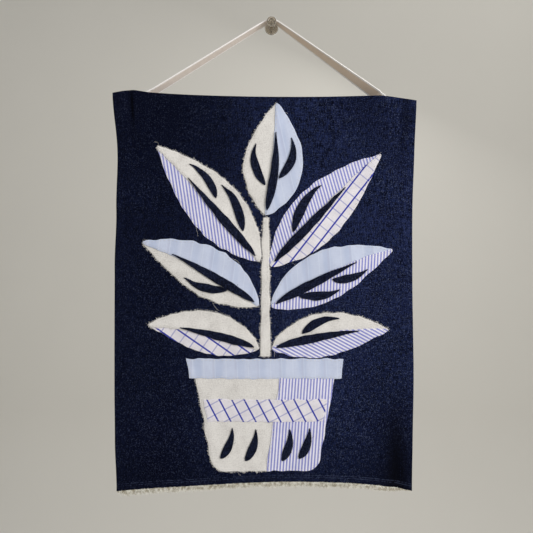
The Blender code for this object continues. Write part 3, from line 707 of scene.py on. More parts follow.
# Radius and distance out at each ring, from the flange's back to the middle of the head
PIN_RINGS = np.array([
    (0.85, 0.0), (5.10, 0.0), (5.30, 0.3), (5.30, 1.1), (4.85, 1.6), (4.35, 1.3), (3.80, 1.3), (3.20, 1.9),
    (2.50, 2.6), (2.30, 4.2), (2.30, 7.6), (2.55, 9.3), (3.10, 10.4), (3.65, 11.2), (3.75, 12.1),
    (3.45, 12.85), (2.80, 12.75), (2.30, 12.2), (1.10, 12.2), (0.02, 12.55),
])
PIN_BORE = ((0.02, 6.3), (0.85, 6.3), (0.85, 0.0))
PIN_SIDES = 72
PIN_ROUNDS = 2
# Where the painted highlight on the flange's rim starts and is full, the head's, and how far out the head's
# starts and is full
FLANGE_HIGHLIGHT = (4.6, 4.9)
HEAD_HIGHLIGHT = (3.0, 3.3)
HEAD_HIGHLIGHT_OUT = (9.5, 10.5)


def rounded_profile(rings, rounds):
    """The rings with every corner cut off at a quarter of both its stretches, several times over."""
    for _ in range(rounds):
        one, two = rings[:-1], rings[1:]
        cut = np.stack([0.75 * one + 0.25 * two, 0.25 * one + 0.75 * two], axis=1).reshape(-1, 2)
        rings = np.concatenate([rings[:1], cut, rings[-1:]])
    return rings


def turned_shell(profile, sides):
    """A profile of radius and out carried round the pin's axis, closed by a small face at each end."""
    turn = np.linspace(0, 2 * np.pi, sides, endpoint=False)
    radius, out = profile[:, 0][:, None], profile[:, 1][:, None]
    points = np.stack([radius * np.cos(turn), out + 0 * turn, radius * np.sin(turn)], axis=2)
    number = np.arange(len(profile) * sides).reshape(-1, sides)
    after = np.roll(number, -1, axis=1)
    walls = quads(number[:-1], after[:-1], after[1:], number[1:])
    return points.reshape(-1, 3), [walls, number[:1, ::-1], number[-1:]]


def clear_plastic_finish():
    """Clear polystyrene with a warm smoky tint made darker as painted shade, painted highlights near white
    on its round rims, and scuffed.
    """
    paint = Paint("clear_plastic", Transmission_Weight=0.92, IOR=1.5, Specular_IOR_Level=0.6)
    place = paint.place()
    scuff = paint.rise(paint.noise(place, (0.6, 0.6, 3.0)), 0.45, 0.8)
    # A warm smoky tint, darker than clear plastic as painted shade
    tint_and_painted_light = paint.mix(paint.noise(place, (0.25, 0.25, 0.25)), colour(186, 176, 160), colour(152, 140, 122))
    x, y, z = paint.parts(place)
    radius = (x * x + z * z) ** 0.5
    # Painted highlight: near white on the flange's rim and on the head's rim
    painted_rim_highlight = paint.rise(radius, *FLANGE_HIGHLIGHT) + paint.rise(radius, *HEAD_HIGHLIGHT) * paint.rise(y * -1, *HEAD_HIGHLIGHT_OUT)
    tint_and_painted_light = paint.mix(painted_rim_highlight, tint_and_painted_light, colour(246, 242, 234))
    return paint.feed(Base_Color=tint_and_painted_light, Roughness=scuff * 0.12 + 0.03)


def needle_finish():
    """Drawn steel: fine lines along its length, a little darker where it was handled."""
    paint = Paint("needle_steel", Metallic=1.0)
    place = paint.place()
    drawn = paint.noise(place, (6.0, 0.4, 6.0))
    steel = paint.mix(drawn, colour(150, 146, 138), colour(206, 203, 196))
    return paint.feed(Base_Color=steel, Roughness=drawn * 0.2 + 0.16, Normal=paint.bump(drawn, depth=0.02))


pin_profile = np.concatenate([np.array(PIN_BORE), rounded_profile(PIN_RINGS, PIN_ROUNDS)[1:]])
make_piece("clear_push_pin", [turned_shell(pin_profile, PIN_SIDES)], clear_plastic_finish(),
           ["push_pin"])
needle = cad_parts["pin_needle"].data.materials
needle.clear()
needle.append(needle_finish())

# Hanging tape. One length of flat white cotton tape, 10 mm wide, with firm thicker edges. It stands on
# edge over the pin's waist, a little crushed there, and its ends are turned flat and sewn down on the
# back of the top hem. It twists more on the right, so that its underside shows.

TAPE_WIDTH = 10.0
TAPE_WIDTH_AT_PIN = 7.4
TAPE_THICKNESS = 1.15
TAPE_REST_RADIUS = 3.15
TAPE_OUT_AT_PIN = 6.1
TAPE_TAIL = 14.5
TAPE_TWIST_LENGTH = 9.0
TAPE_PINCH_LENGTH = 18.0
TAPE_TUCK = 0.6
TAPE_RISE = 4.5
TAPE_RISE_LENGTH = 6.0
TAPE_SEAM = 0.08
TAPE_TURN_POWER = 1.3
TAPE_RUN_CELLS = 90
TAPE_TAIL_CELLS = 24
TAPE_ARC_CELLS = 24
TAPE_PROFILE_POINTS = 28
# The section's roundness across and through, and how much thinner it is inside its beaded edges
TAPE_ROUND_ACROSS = 0.7
TAPE_ROUND_THROUGH = 0.35
TAPE_BEAD = 0.42
TAPE_BEAD_POWER = 9
TAPE_RIB_PITCH = 0.55
TAPE_HERRINGBONE_PITCH = 0.9
# Where the plain edge starts and is full, from the middle of the width; it is also painted near white as a
# highlight
TAPE_EDGE = (3.4, 3.9)
# The sewn box: its half width as a share of the tape's, and the tail's cells before and after it
BOX_SHARE = 0.7
BOX_START = 9
BOX_END = 4
Run = namedtuple("Run", "side edge_x edge_z turn")
LEFT_RUN = Run(side=-1.0, edge_x=-89.9, edge_z=-51.2, turn=10.0)
RIGHT_RUN = Run(side=1.0, edge_x=80.8, edge_z=-53.3, turn=31.0)


def tape_profile():
    """A closed ring round the tape's section, as shares of its half width and half thickness.

    A squarish oval, thinned on its two faces so that its edges stand as beads.
    """
    turn = np.linspace(0, 2 * np.pi, TAPE_PROFILE_POINTS, endpoint=False) + np.pi / TAPE_PROFILE_POINTS
    border, face = (np.sign(wave) * np.abs(wave) ** power for wave, power in (
        (np.cos(turn), TAPE_ROUND_ACROSS), (np.sin(turn), TAPE_ROUND_THROUGH)))
    return border, face * (1 - TAPE_BEAD * (1 - np.abs(border) ** TAPE_BEAD_POWER))


def tape_run(run, stations):
    """Centre, direction, turn and width of one run, from its tangent point on the pin to its end.

    The run is tangent to the circle that the tape's middle makes round the pin. stations are shares of
    its free length, past 1 along the tail behind the hem.
    """
    radius = TAPE_REST_RADIUS + TAPE_THICKNESS / 2
    reach = np.hypot(run.edge_x, run.edge_z)
    slope = np.arctan2(-run.edge_z, abs(run.edge_x)) + np.arcsin(radius / reach)
    tangent = np.array([run.side * radius * np.sin(slope), radius * np.cos(slope)])
    heading = np.array([run.side * np.cos(slope), -np.sin(slope)])
    free = np.sqrt(reach**2 - radius**2)
    along = stations * free
    past = ease((along - free) / TAPE_TWIST_LENGTH)
    turn = run.turn * np.clip(stations, 0, 1) ** TAPE_TURN_POWER + (90 - run.turn) * past
    grow = np.clip(along / TAPE_PINCH_LENGTH, 0, 1)
    width = TAPE_WIDTH_AT_PIN + (TAPE_WIDTH - TAPE_WIDTH_AT_PIN) * grow * (2 - grow)
    return tangent + along[:, None] * heading, heading, np.radians(turn), width, along


def hem_back(x, z):
    """The back of the top hem, read inside the hem so that it also holds above it."""
    return denim_back(x, np.minimum(z, top_edge(x) - DENIM_LAYER))


def tape_rings(run, stations):
    """Rings of one run, stations x profile x (x, out, z), with its heading and its length so far.

    The width turns from along the pin's axis to flat behind the hem, where each point lies a seam's
    gap behind the hem's back. Past the edge the tape drops, so that its upper border goes under the
    hem's top and stays there.
    """
    centre, heading, turn, width, along = tape_run(run, stations)
    border, face = tape_profile()
    upward = np.array([run.side * -heading[1], run.side * heading[0]])
    wide_up, wide_out = width / 2 * np.sin(turn), width / 2 * np.cos(turn)
    thick_up, thick_out = TAPE_THICKNESS / 2 * np.cos(turn), TAPE_THICKNESS / 2 * np.sin(turn)
    past = np.maximum(stations - 1, 0) * np.hypot(run.edge_x, run.edge_z)
    ceiling = top_edge(centre[:, 0]) - TAPE_TUCK + TAPE_RISE * np.clip(1 - past / TAPE_RISE_LENGTH, 0, 1)
    crest = centre[:, 1] + (wide_up + thick_up) * upward[1]
    centre[:, 1] -= np.where(stations > 1, np.maximum(crest - ceiling, 0), 0)
    behind_out = hem_back(centre[:, 0], centre[:, 1]) - TAPE_SEAM - wide_out - thick_out
    edge_out = behind_out[stations == 1]
    free_out = TAPE_OUT_AT_PIN + (edge_out - TAPE_OUT_AT_PIN) * np.clip(stations, 0, 1)
    middle_out = np.where(stations > 1, behind_out, free_out)
    follow = np.where(stations > 1, np.sin(turn) ** 2, 0)[:, None]
    up = np.outer(wide_up, border) - np.outer(thick_up, face)
    place = centre[:, None, :] + up[..., None] * upward
    x, z = place[..., 0], place[..., 1]
    surface = hem_back(x, z) - TAPE_SEAM
    laid = surface + (face - 1) * TAPE_THICKNESS / 2
    out = (1 - follow) * (middle_out[:, None] + np.outer(wide_out, border) + np.outer(thick_out, face))
    out = out + follow * laid
    out = np.where(z < top_edge(x) + TAPE_THICKNESS, np.minimum(out, surface), out)
    return np.stack([x, out, z], axis=2), heading, along


def make_tape():
    """Both runs, and between them an arc whose normal turns from the left run's to the right run's."""
    reach = np.hypot(LEFT_RUN.edge_x, LEFT_RUN.edge_z)
    tail = 1 + np.linspace(0, 1, TAPE_TAIL_CELLS + 1)[1:] * TAPE_TAIL / reach
    stations = np.concatenate([np.linspace(0, 1, TAPE_RUN_CELLS + 1), tail])
    left, left_heading, left_along = tape_rings(LEFT_RUN, stations)
    right, right_heading, right_along = tape_rings(RIGHT_RUN, stations)
    start = np.pi / 2 + np.arctan2(-left_heading[1], -left_heading[0])
    end = np.pi / 2 - np.arctan2(-right_heading[1], right_heading[0])
    normals = np.linspace(start, end, TAPE_ARC_CELLS + 1)[1:-1]
    border, face = tape_profile()
    middle = TAPE_REST_RADIUS + TAPE_THICKNESS / 2
    radius = middle - face * TAPE_THICKNESS / 2
    out = TAPE_OUT_AT_PIN + border * TAPE_WIDTH_AT_PIN / 2
    arc = np.stack([np.outer(np.cos(normals), radius), np.tile(out, (normals.size, 1)),
                    np.outer(np.sin(normals), radius)], axis=2)
    rings = np.concatenate([left[::-1], arc, right])
    over = middle * (start - normals)
    along = np.concatenate([-left_along[::-1], over, over[-1] + right_along])
    number = np.arange(rings[..., 0].size).reshape(1, *rings.shape[:2])
    weave = np.stack([np.repeat(along, border.size), np.tile(border * TAPE_WIDTH / 2, len(rings)),
                      np.tile(face, len(rings))], axis=1)
    return (rings.reshape(-1, 3), ring_faces(number)), weave, (left, right)


def tail_back(x, z):
    """The back of a tail sewn on behind the hem."""
    return hem_back(x, z) - TAPE_SEAM - TAPE_THICKNESS


def tail_box(rings):
    """The box sewn through a tail, as (x, z) places: down one side, across its end and back again."""
    border, face = tape_profile()
    one, two = (np.argmin(np.abs(border - side) + (face < 0)) for side in (-BOX_SHARE, BOX_SHARE))
    first, last = len(rings) - TAPE_TAIL_CELLS + BOX_START, len(rings) - BOX_END
    flat = rings[..., [0, 2]]
    return np.concatenate([flat[first:last, one], flat[last:first:-1, two], flat[first : first + 1, one]])


def tape_finish():
    """White cotton in herringbone: slanted ribs that change hands across the width, and plain edges.

    The underside is painted a warmer, darker shade, more on the right run than on the left one, and the
    plain edges are painted near white as a highlight.
    """
    paint = Paint("white_cotton_tape", Roughness=0.88, Sheen_Weight=0.15)
    along, across, side = paint.parts(paint.vector("weave"))
    hand = across.math("ABSOLUTE")
    chevron = paint.ridges(hand + along, TAPE_HERRINGBONE_PITCH)
    rib = paint.ridges(across, TAPE_RIB_PITCH)
    plain_edge_and_highlight = paint.rise(hand, *TAPE_EDGE)
    height = chevron * (1 - plain_edge_and_highlight) + rib * plain_edge_and_highlight
    soil = paint.noise(paint.place(), (0.08, 0.08, 0.08))
    grain = height * 0.4 + soil * 0.6
    shade = paint.mix(grain, colour(201, 191, 187), colour(229, 222, 219))
    # Painted shade: the underside warmer and darker, more along the right run
    painted_warm_shade = paint.mix(grain, colour(218, 197, 177), colour(244, 226, 208))
    under = paint.rise(side, 0.0, 0.3) * (paint.rise(along, -10.0, 20.0) * 0.7 + 0.3)
    # Painted highlight: the plain edges near white
    shade = paint.mix(plain_edge_and_highlight, paint.mix(under, shade, painted_warm_shade), colour(249, 245, 243))
    return paint.feed(Base_Color=shade, Normal=paint.bump(height, depth=0.1, strength=0.8))


tape_shell, tape_weave, tape_runs = make_tape()
tape, _ = make_piece("cotton_tape", [tape_shell], tape_finish(), ["hanging_tape"])
write_attribute(tape, "weave", tape_weave)
white_thread = thread_finish("white_thread", (196, 190, 184), (232, 228, 222))
make_piece("tape_stitching", [running_stitches(tail_box(rings), tail_back, -1.0) for rings in tape_runs],
           white_thread)

# Plant pot. Raw-edge applique: a cream body and a striped side that overlaps it, a pale-blue rim over
# both, and a windowpane band across. Each piece is cut by hand from thin cotton, laid flat on the
# denim with its edges left raw, and sewn down just inside them.

CLOTH_THICKNESS = 0.42
CLOTH_GAP = 0.04
PUFF = 0.1
PUFF_PITCH = 26.0
PUFF_SEED = 31
HAND_CUT = 0.42
HAND_CUT_PITCH = 10.0
HAND_CUT_SEEDS = (41, 42)
EDGE_DROP = 0.14
OVERLAP = 1.3
OVERLAP_LIFT = 0.5
OVERLAP_REACH = 4.5
WEAVE_PITCH = 0.5
POT_X = -4.8
RIM_TOP = -255.0
RIM_HEIGHT = 15.0
RIM_WIDTH_TOP = 120.0
RIM_WIDTH_BOTTOM = 116.0
POT_TOP = -271.0
POT_HEIGHT = 70.0
POT_UNDER_RIM = 3.0
POT_WIDTH_TOP = 106.0
POT_WIDTH_BOTTOM = 80.0
POT_CORNER = 9.0
POT_SEAM_TOP = 12.0
POT_SEAM_BOTTOM = 2.0
POT_SEAM_OPEN = 0.2
BAND_DROP = 15.0
BAND_HEIGHT = 17.0
BAND_MARGIN = 3.0
# Points down the pot's side, round its corner, down its rim and band and along its seam
POT_SIDE_POINTS = 60
POT_CORNER_POINTS = 14
RIM_POINTS = 20
BAND_POINTS = 20
SEAM_POINTS = 240
# Columns of each of its cloths, and the angle that each is cut at
BODY_COLUMNS, SIDE_COLUMNS, RIM_COLUMNS, BAND_COLUMNS = 36, 30, 96, 90
BODY_CUT, SIDE_CUT, RIM_CUT, BAND_CUT = 3, -4, 2, 28
FRAY_RINGS = 4
FRAY_ROOT = 0.5
FRAY_TIP = 0.5
FRAY_LENGTHS = (0.5, 1.15)
# Spreads of a thread's heading and bend, and how far it may droop
FRAY_STRAY = 0.22
FRAY_BEND = 0.3
FRAY_DROOP = 0.2
GRAIN_PULL = 0.55
CLUMP_PITCH = 2.4
CLUMP_MEAN = 0.75
CLUMP_DEPTH = 0.45
CLUMP_LIMITS = (0.25, 1.3)
# How far into its cloth a piece may be cut
CUT_START = 30


def cloth_face(x, z):
    """The face of one applique cloth: the denim's, the cloth's thickness and soft puffs between seams."""
    puffs = PUFF * (1 + soft_noise(x, z, PUFF_PITCH, PUFF_SEED))
    return denim_front(x, z) + CLOTH_GAP + CLOTH_THICKNESS + puffs


def hand_cut(places, wander):
    """The places, each moved a little by two soft noises, so that cut edges wander as scissors do."""
    x, z = places[..., 0], places[..., 1]
    moved = [soft_noise(x, z, HAND_CUT_PITCH, seed) for seed in HAND_CUT_SEEDS]
    return places + wander * np.stack(moved, axis=-1)


def distance_to(line, x, z):
    """The distance from each place to the nearest point of a line of closely set places."""
    return np.sqrt(((x[..., None] - line[:, 0]) ** 2 + (z[..., None] - line[:, 1]) ** 2).min(axis=-1))


def lapped(line, x, z):
    """How much a cloth is lifted where it lies over its neighbour's edge: a bell along the seam line."""
    return OVERLAP_LIFT * bell(distance_to(line, x, z), 0, OVERLAP_REACH)


def cloth_finish(name, ground, shade, pattern, nap=0.0):
    """Plain-woven cotton. pattern takes the paint, the ground and the cut's two coordinates in mm.

    The ground drifts between two shades, and a brushed cloth has a nap that hides its weave.
    """
    paint = Paint(name, Roughness=0.9, Sheen_Weight=0.1 + nap * 0.3, Sheen_Roughness=0.5)
    cut = paint.vector("cut")
    across, along, _ = paint.parts(cut)
    drift = paint.noise(cut, (0.11, 0.07, 0.1))
    slub = paint.noise(cut, (1.6, 0.22, 0.2)) * 0.5 + paint.noise(cut, (0.22, 1.6, 0.2)) * 0.5
    fibre = paint.noise(cut, (1.3, 1.1, 1.0), 4.0)
    uneven = drift * (0.5 - 0.25 * nap) + slub * (0.5 - 0.15 * nap) + fibre * 0.45 * nap
    tone = paint.rise(uneven, 0.34, 0.64)
    cloth = pattern(paint, paint.mix(tone, colour(*shade), colour(*ground)), across, along)
    rate = 2 * np.pi / WEAVE_PITCH
    weave = (across * rate).math("SINE") * (along * rate).math("SINE") * 0.5 + 0.5
    height = weave * (1 - nap * 0.6) + fibre * nap * 1.6 + slub * 0.6
    return paint.feed(Base_Color=cloth, Normal=paint.bump(height, depth=0.06 + 0.08 * nap, strength=0.8))


def plain(paint, ground, across, along):
    """No pattern, but here and there a darker seed fleck of the raw cotton."""
    fleck = paint.rise(paint.noise(paint.vector("cut"), (0.55, 0.5, 0.5), 1.0), 0.76, 0.84)
    return paint.mix(fleck * 0.35, ground, colour(176, 160, 138))


def fine_stripes(paint, ground, across, along):
    """Violet-blue stripes 1.2 mm wide, 2.35 mm apart."""
    worn = paint.noise(paint.vector("cut"), (0.9, 0.25, 0.2))
    stripes = paint.lines(across, pitch=2.35, width=1.2, soft=0.18) * (0.66 + worn * 0.4)
    return paint.mix(stripes, ground, colour(112, 118, 196))


def tonal_stripes(paint, ground, across, along):
    """Broad stripes in a deeper blue, each edged by a fine white line, all soft and washed unevenly."""
    worn = paint.noise(paint.vector("cut"), (0.09, 0.05, 0.1))
    broad = paint.lines(across + worn * 5, pitch=16.0, width=6.0, soft=1.6) * (worn * 0.8 + 0.05)
    middle = paint.lines(across + 4.5, pitch=17.0, width=1.6, soft=0.6) * worn * 0.5
    fine = paint.lines(across + 7.5, pitch=8.5, width=0.5, soft=0.2) * 0.3
    cloth = paint.mix(broad, ground, colour(172, 184, 212))
    cloth = paint.mix(middle, cloth, colour(178, 180, 202))
    return paint.mix(fine, cloth, colour(222, 228, 240))


def windowpane(paint, ground, across, along):
    """Strong blue lines along the cloth 8.4 mm apart, and paler lilac ones across it 8.2 mm apart."""
    worn = paint.noise(paint.vector("cut"), (0.5, 0.5, 0.2)) * 0.5 + 0.6
    pale = paint.lines(along, pitch=8.2, width=0.85, soft=0.2) * worn * 0.8
    cloth = paint.mix(pale, ground, colour(132, 136, 190))
    return paint.mix(paint.lines(across, pitch=8.4, width=1.2, soft=0.16), cloth, colour(26, 42, 158))


Cloth = namedtuple("Cloth", "finish slot fray_pitch fray_length fray_radius")
CREAM = Cloth(cloth_finish("brushed_cream_cotton", (228, 225, 221), (193, 189, 185), plain, 1.0),
              "cream_cotton", 0.4, 1.45, 0.16)
STRIPED = Cloth(cloth_finish("striped_shirting", (234, 232, 241), (221, 219, 231), fine_stripes),
                "striped_shirting", 1.7, 0.6, 0.07)
PALE_BLUE = Cloth(cloth_finish("pale_blue_shirting", (199, 207, 228), (189, 197, 219), tonal_stripes),
                  "pale_blue_shirting", 1.7, 0.6, 0.07)
WINDOWPANE = Cloth(cloth_finish("windowpane_shirting", (230, 226, 232), (214, 210, 217), windowpane),
                   "windowpane_shirting", 1.5, 0.65, 0.07)


def outward_of(rim):
    """Unit vectors in x and z that point out of a closed line, square to it."""
    x, z = rim[:, 0], rim[:, -1]
    along = (np.roll(rim, -1, axis=0) - np.roll(rim, 1, axis=0))[:, [0, -1]]
    turn = np.sign((x * np.roll(z, -1) - z * np.roll(x, -1)).sum())
    return unit(turn * np.column_stack([along[:, 1], -along[:, 0]]))


def frayed(rim, grain, cloth, seed):
    """Short threads that stand out of a raw edge, mostly along the cloth's own warp and weft.

    Each leaves the edge between the outward direction and the nearer grain direction, bends with the
    square of its length and droops to the denim. A soft noise along the edge gathers them in clumps.
    """
    generator = np.random.default_rng(seed)
    known = np.column_stack([rim, outward_of(rim)])
    known = np.concatenate([known, known[:1]])
    reach = length_along(known[:, :3])
    at = np.arange(0, reach[-1], cloth.fray_pitch)
    at = at + generator.uniform(-0.5, 0.5, at.size) * cloth.fray_pitch
    x, out, z, *away = read_line(known, reach, at).T
    away = np.column_stack(away)
    angle = np.radians(grain)
    axes = np.array([(np.cos(angle), np.sin(angle)), (-np.sin(angle), np.cos(angle))])
    facing = away @ axes.T
    nearer = np.abs(facing).argmax(axis=1)
    lead = axes[nearer] * np.sign(facing[np.arange(at.size), nearer])[:, None]
    heading = (1 - GRAIN_PULL) * away + GRAIN_PULL * lead + generator.normal(0, FRAY_STRAY, (at.size, 2))
    heading = unit(heading)
    clump = np.clip(CLUMP_MEAN + CLUMP_DEPTH * soft_noise(at, at * 0, CLUMP_PITCH, seed), *CLUMP_LIMITS)
    length = cloth.fray_length * clump * generator.uniform(*FRAY_LENGTHS, at.size)
    share = np.linspace(0, 1, FRAY_RINGS)[None, :]
    along = length[:, None] * share - FRAY_ROOT * (1 - share)
    bend = generator.normal(0, FRAY_BEND, at.size)[:, None] * length[:, None] * share**2
    lines_x = x[:, None] + heading[:, :1] * along - heading[:, 1:] * bend
    lines_z = z[:, None] + heading[:, 1:] * along + heading[:, :1] * bend
    droop = generator.uniform(0, FRAY_DROOP, at.size)[:, None] * share
    lines_out = out[:, None] - cloth.fray_radius - droop
    lines_out = np.maximum(lines_out, denim_front(lines_x, lines_z) + cloth.fray_radius)
    lines = np.stack([lines_x, lines_out, lines_z], axis=2)
    return tubes(lines, cloth.fray_radius * np.linspace(1, FRAY_TIP, FRAY_RINGS))


def cut_size(rim):
    """A flat piece's width, length and area: its extents along and across its longest way."""
    places = rim[:, [0, 2]] - rim[:, [0, 2]].mean(axis=0)
    ways = np.linalg.svd(places, full_matrices=False)[2]
    length, width = np.ptp(places @ ways.T, axis=0)
    x, z = places.T
    area = abs((x * np.roll(z, -1) - z * np.roll(x, -1)).sum()) / 2
    return width * MM, length * MM, area * MM**2


def cut_cloth(places, under, thickness, cloth, grain, seed):
    """A thin closed sheet whose outermost points lie a little lower, and its frayed edge.

    under is how far out its back lies. Its rim and its face come with it.
    """
    x, z = places[..., 0], places[..., 1]
    drop = np.full(x.shape, EDGE_DROP)
    drop[1:-1, 1:-1] = 0
    front = np.stack([x, under + thickness - drop, z], axis=2)
    rim = rim_of(front)
    sheet = sheet_shell(front, np.stack([x, under, z], axis=2))
    return [sheet, frayed(rim, grain, cloth, seed)], rim, front


def lay_patch(node, places, cloth, grain, lift=None):
    """One cloth on the denim, cut by hand, with the place of each point on its own weave in mm."""
    places = hand_cut(places, HAND_CUT)
    x, z = places[..., 0], places[..., 1]
    under = cloth_face(x, z) - CLOTH_THICKNESS + (lift(x, z) if lift else 0)
    seed = sum(node.encode())
    shells, rim, _ = cut_cloth(places, under, CLOTH_THICKNESS, cloth, grain, seed)
    piece, points = make_piece(node + "_cloth", shells, cloth.finish, [node])
    angle = np.radians(grain)
    start = np.random.default_rng(seed).uniform(0, CUT_START, 2)
    across = points[:, 0] * np.cos(angle) + points[:, 2] * np.sin(angle) + start[0]
    along = points[:, 2] * np.cos(angle) - points[:, 0] * np.sin(angle) + start[1]
    write_attribute(piece, "cut", np.column_stack([across, along, np.zeros(across.size)]))
    width, length, area = cut_size(rim)
    return rim


def pot_half_width(z):
    """Half the pot's width: a straight taper whose two lower corners are rounded."""
    share = (POT_TOP - z) / POT_HEIGHT
    half = (POT_WIDTH_TOP + (POT_WIDTH_BOTTOM - POT_WIDTH_TOP) * share) / 2
    into = np.clip((POT_TOP - z - (POT_HEIGHT - POT_CORNER)) / POT_CORNER, 0, 1)
    return half - POT_CORNER * (1 - np.sqrt(1 - into**2))


def pot_seam(z):
    """Where the striped side starts: a straight slanted line."""
    return POT_X + POT_SEAM_TOP + (POT_SEAM_BOTTOM - POT_SEAM_TOP) * (POT_TOP - z) / POT_HEIGHT


def upright_places(z, left, right, columns):
    """Rows at the heights z, each from its own left end to its own right end."""
    x = left[:, None] + (right - left)[:, None] * np.linspace(0, 1, columns + 1)
    return np.stack([x, np.broadcast_to(z[:, None], x.shape)], axis=2)


seam_z = np.linspace(POT_TOP + POT_UNDER_RIM, POT_TOP - POT_HEIGHT, SEAM_POINTS)
seam_line = np.column_stack([pot_seam(seam_z), seam_z])
over_pot_seam = partial(lapped, seam_line)


def over_pot(x, z):
    """The band lies on the pot's cloths, and is lifted with them along their seam."""
    return CLOTH_THICKNESS + CLOTH_GAP + over_pot_seam(x, z)


def over_pot_top(x, z):
    """The rim's lower part is lifted where it lies over the pot's upper edge."""
    return OVERLAP_LIFT * bell(np.maximum(z - POT_TOP - POT_UNDER_RIM, 0), 0, OVERLAP_REACH)


def make_pot():
    """Body, side, rim and band, each between two side lines over its own rows of heights."""
    corner = POT_HEIGHT - POT_CORNER + POT_CORNER * np.cos(np.linspace(np.pi / 2, 0, POT_CORNER_POINTS))
    straight = np.linspace(-POT_UNDER_RIM, POT_HEIGHT - POT_CORNER, POT_SIDE_POINTS)
    z = POT_TOP - np.concatenate([straight, corner[1:]])
    half, seam = pot_half_width(z), pot_seam(z)
    rim_z = np.linspace(RIM_TOP, RIM_TOP - RIM_HEIGHT, RIM_POINTS)
    rim_half = np.linspace(RIM_WIDTH_TOP, RIM_WIDTH_BOTTOM, rim_z.size) / 2
    band_z = POT_TOP - BAND_DROP - np.linspace(0, BAND_HEIGHT, BAND_POINTS)
    band_half = pot_half_width(band_z) - BAND_MARGIN
    body = upright_places(z, POT_X - half, seam - POT_SEAM_OPEN, BODY_COLUMNS)
    side = upright_places(z, seam - OVERLAP, POT_X + half, SIDE_COLUMNS)
    rim = upright_places(rim_z, POT_X - rim_half, POT_X + rim_half, RIM_COLUMNS)
    band = upright_places(band_z, POT_X - band_half, POT_X + band_half, BAND_COLUMNS)
    return [
        lay_patch("pot_body", body, CREAM, BODY_CUT),
        lay_patch("pot_side", side, STRIPED, SIDE_CUT, over_pot_seam),
        lay_patch("pot_rim", rim, PALE_BLUE, RIM_CUT, over_pot_top),
        lay_patch("pot_band", band, WINDOWPANE, BAND_CUT, over_pot),
    ]


patch_rims = make_pot()

# Stem and leaves. Seven leaves branch from a cream stem, each cut as two halves from two of the four
# cottons. The right half laps over the left one along the midrib. All are raw-edged and sewn down.

STEM_BOTTOM = (-4.8, -253.0)
STEM_TOP = (-4.2, -147.0)
STEM_WIDTH_BOTTOM = 7.6
STEM_WIDTH_TOP = 4.4
STEM_POINTS = 90
STEM_COLUMNS = 8
STEM_CUT = 1
LEAF_END = 0.7
LEAF_BELLY = 0.85
LEAF_FULLNESS = 0.9
LEAF_SEAM_OPEN = 0.1
LEAST_LAP = 0.6
LEAF_ROWS = 72
LEAF_COLUMNS = 14
MIDRIB_POINTS = 200
# A leaf's base, tip, sideways bend and width, and for each half its cloth and the angle of its cut
Leaf = namedtuple("Leaf", "name base tip bend width left left_cut right right_cut")
LEAVES = (
    Leaf("crown", (-4.2, -145.0), (4.0, -60.0), 2.0, 45.0, CREAM, 4, PALE_BLUE, 12),
    Leaf("upper_left", (-9.4, -180.0), (-86.0, -94.0), 2.0, 41.0, STRIPED, 8, CREAM, -20),
    Leaf("upper_right", (-0.6, -184.0), (82.0, -100.0), -2.0, 40.0, STRIPED, 16, WINDOWPANE, -38),
    Leaf("middle_left", (-9.8, -214.0), (-98.0, -166.0), 4.0, 37.0, CREAM, 6, PALE_BLUE, -8),
    Leaf("middle_right", (0.0, -215.0), (92.0, -172.0), -4.0, 38.0, PALE_BLUE, 4, STRIPED, -2),
    Leaf("lower_left", (-10.0, -247.0), (-94.0, -229.0), 4.0, 32.0, WINDOWPANE, 55, CREAM, -5),
    Leaf("lower_right", (0.2, -247.0), (89.0, -233.0), -4.0, 33.0, CREAM, 0, STRIPED, 62),
)


def leftward_of(line):
    """Unit vectors square to a line of places, to its left."""
    along = unit(np.gradient(line, axis=0))
    return np.column_stack([-along[:, 1], along[:, 0]])


def ribbon(line, low, high, columns):
    """A strip along a line of places: offsets from low to high, square to the line and to its left."""
    offset = low[:, None] + (high - low)[:, None] * np.linspace(0, 1, columns + 1)
    return line[:, None, :] + offset[..., None] * leftward_of(line)[:, None, :]


def bent_line(start, end, bend, share):
    """Places from start to end on a parabola that stands bend to the right of the straight line."""
    start, end = np.array(start, float), np.array(end, float)
    along = unit(end - start)
    rightward = np.array([along[1], -along[0]])
    return start + share[:, None] * (end - start) + (4 * bend * share * (1 - share))[:, None] * rightward


def leaf_half_width(leaf, share):
    """Half width along a leaf: a sine drawn towards the base, with a blunt cut at both ends."""
    return LEAF_END + (leaf.width / 2 - LEAF_END) * np.sin(np.pi * share**LEAF_BELLY) ** LEAF_FULLNESS


def over_midrib(leaf):
    """The lift of a leaf's right half along its midrib, as a function of x and z."""
    return partial(lapped, bent_line(leaf.base, leaf.tip, leaf.bend, np.linspace(0, 1, MIDRIB_POINTS)))


def make_leaf(leaf):
    """Two ribbons along the midrib: the left half, and the right one with the lap that lies over it."""
    share = np.linspace(0, 1, LEAF_ROWS + 1)
    midrib = bent_line(leaf.base, leaf.tip, leaf.bend, share)
    width = leaf_half_width(leaf, share)
    left = ribbon(midrib, np.full(share.size, LEAF_SEAM_OPEN), width, LEAF_COLUMNS)
    right = ribbon(midrib, -width, np.minimum(OVERLAP, LEAST_LAP * width), LEAF_COLUMNS)
    name = f"leaf_{leaf.name}"
    return [lay_patch(f"{name}_left", left, leaf.left, leaf.left_cut),
            lay_patch(f"{name}_right", right, leaf.right, leaf.right_cut, over_midrib(leaf))]


def make_stem():
    """A straight ribbon that tapers evenly from the pot to the top leaf."""
    share = np.linspace(0, 1, STEM_POINTS)
    half = (STEM_WIDTH_BOTTOM + (STEM_WIDTH_TOP - STEM_WIDTH_BOTTOM) * share) / 2
    places = ribbon(bent_line(STEM_BOTTOM, STEM_TOP, 0.0, share), -half, half, STEM_COLUMNS)
    return lay_patch("stem", places, CREAM, STEM_CUT)


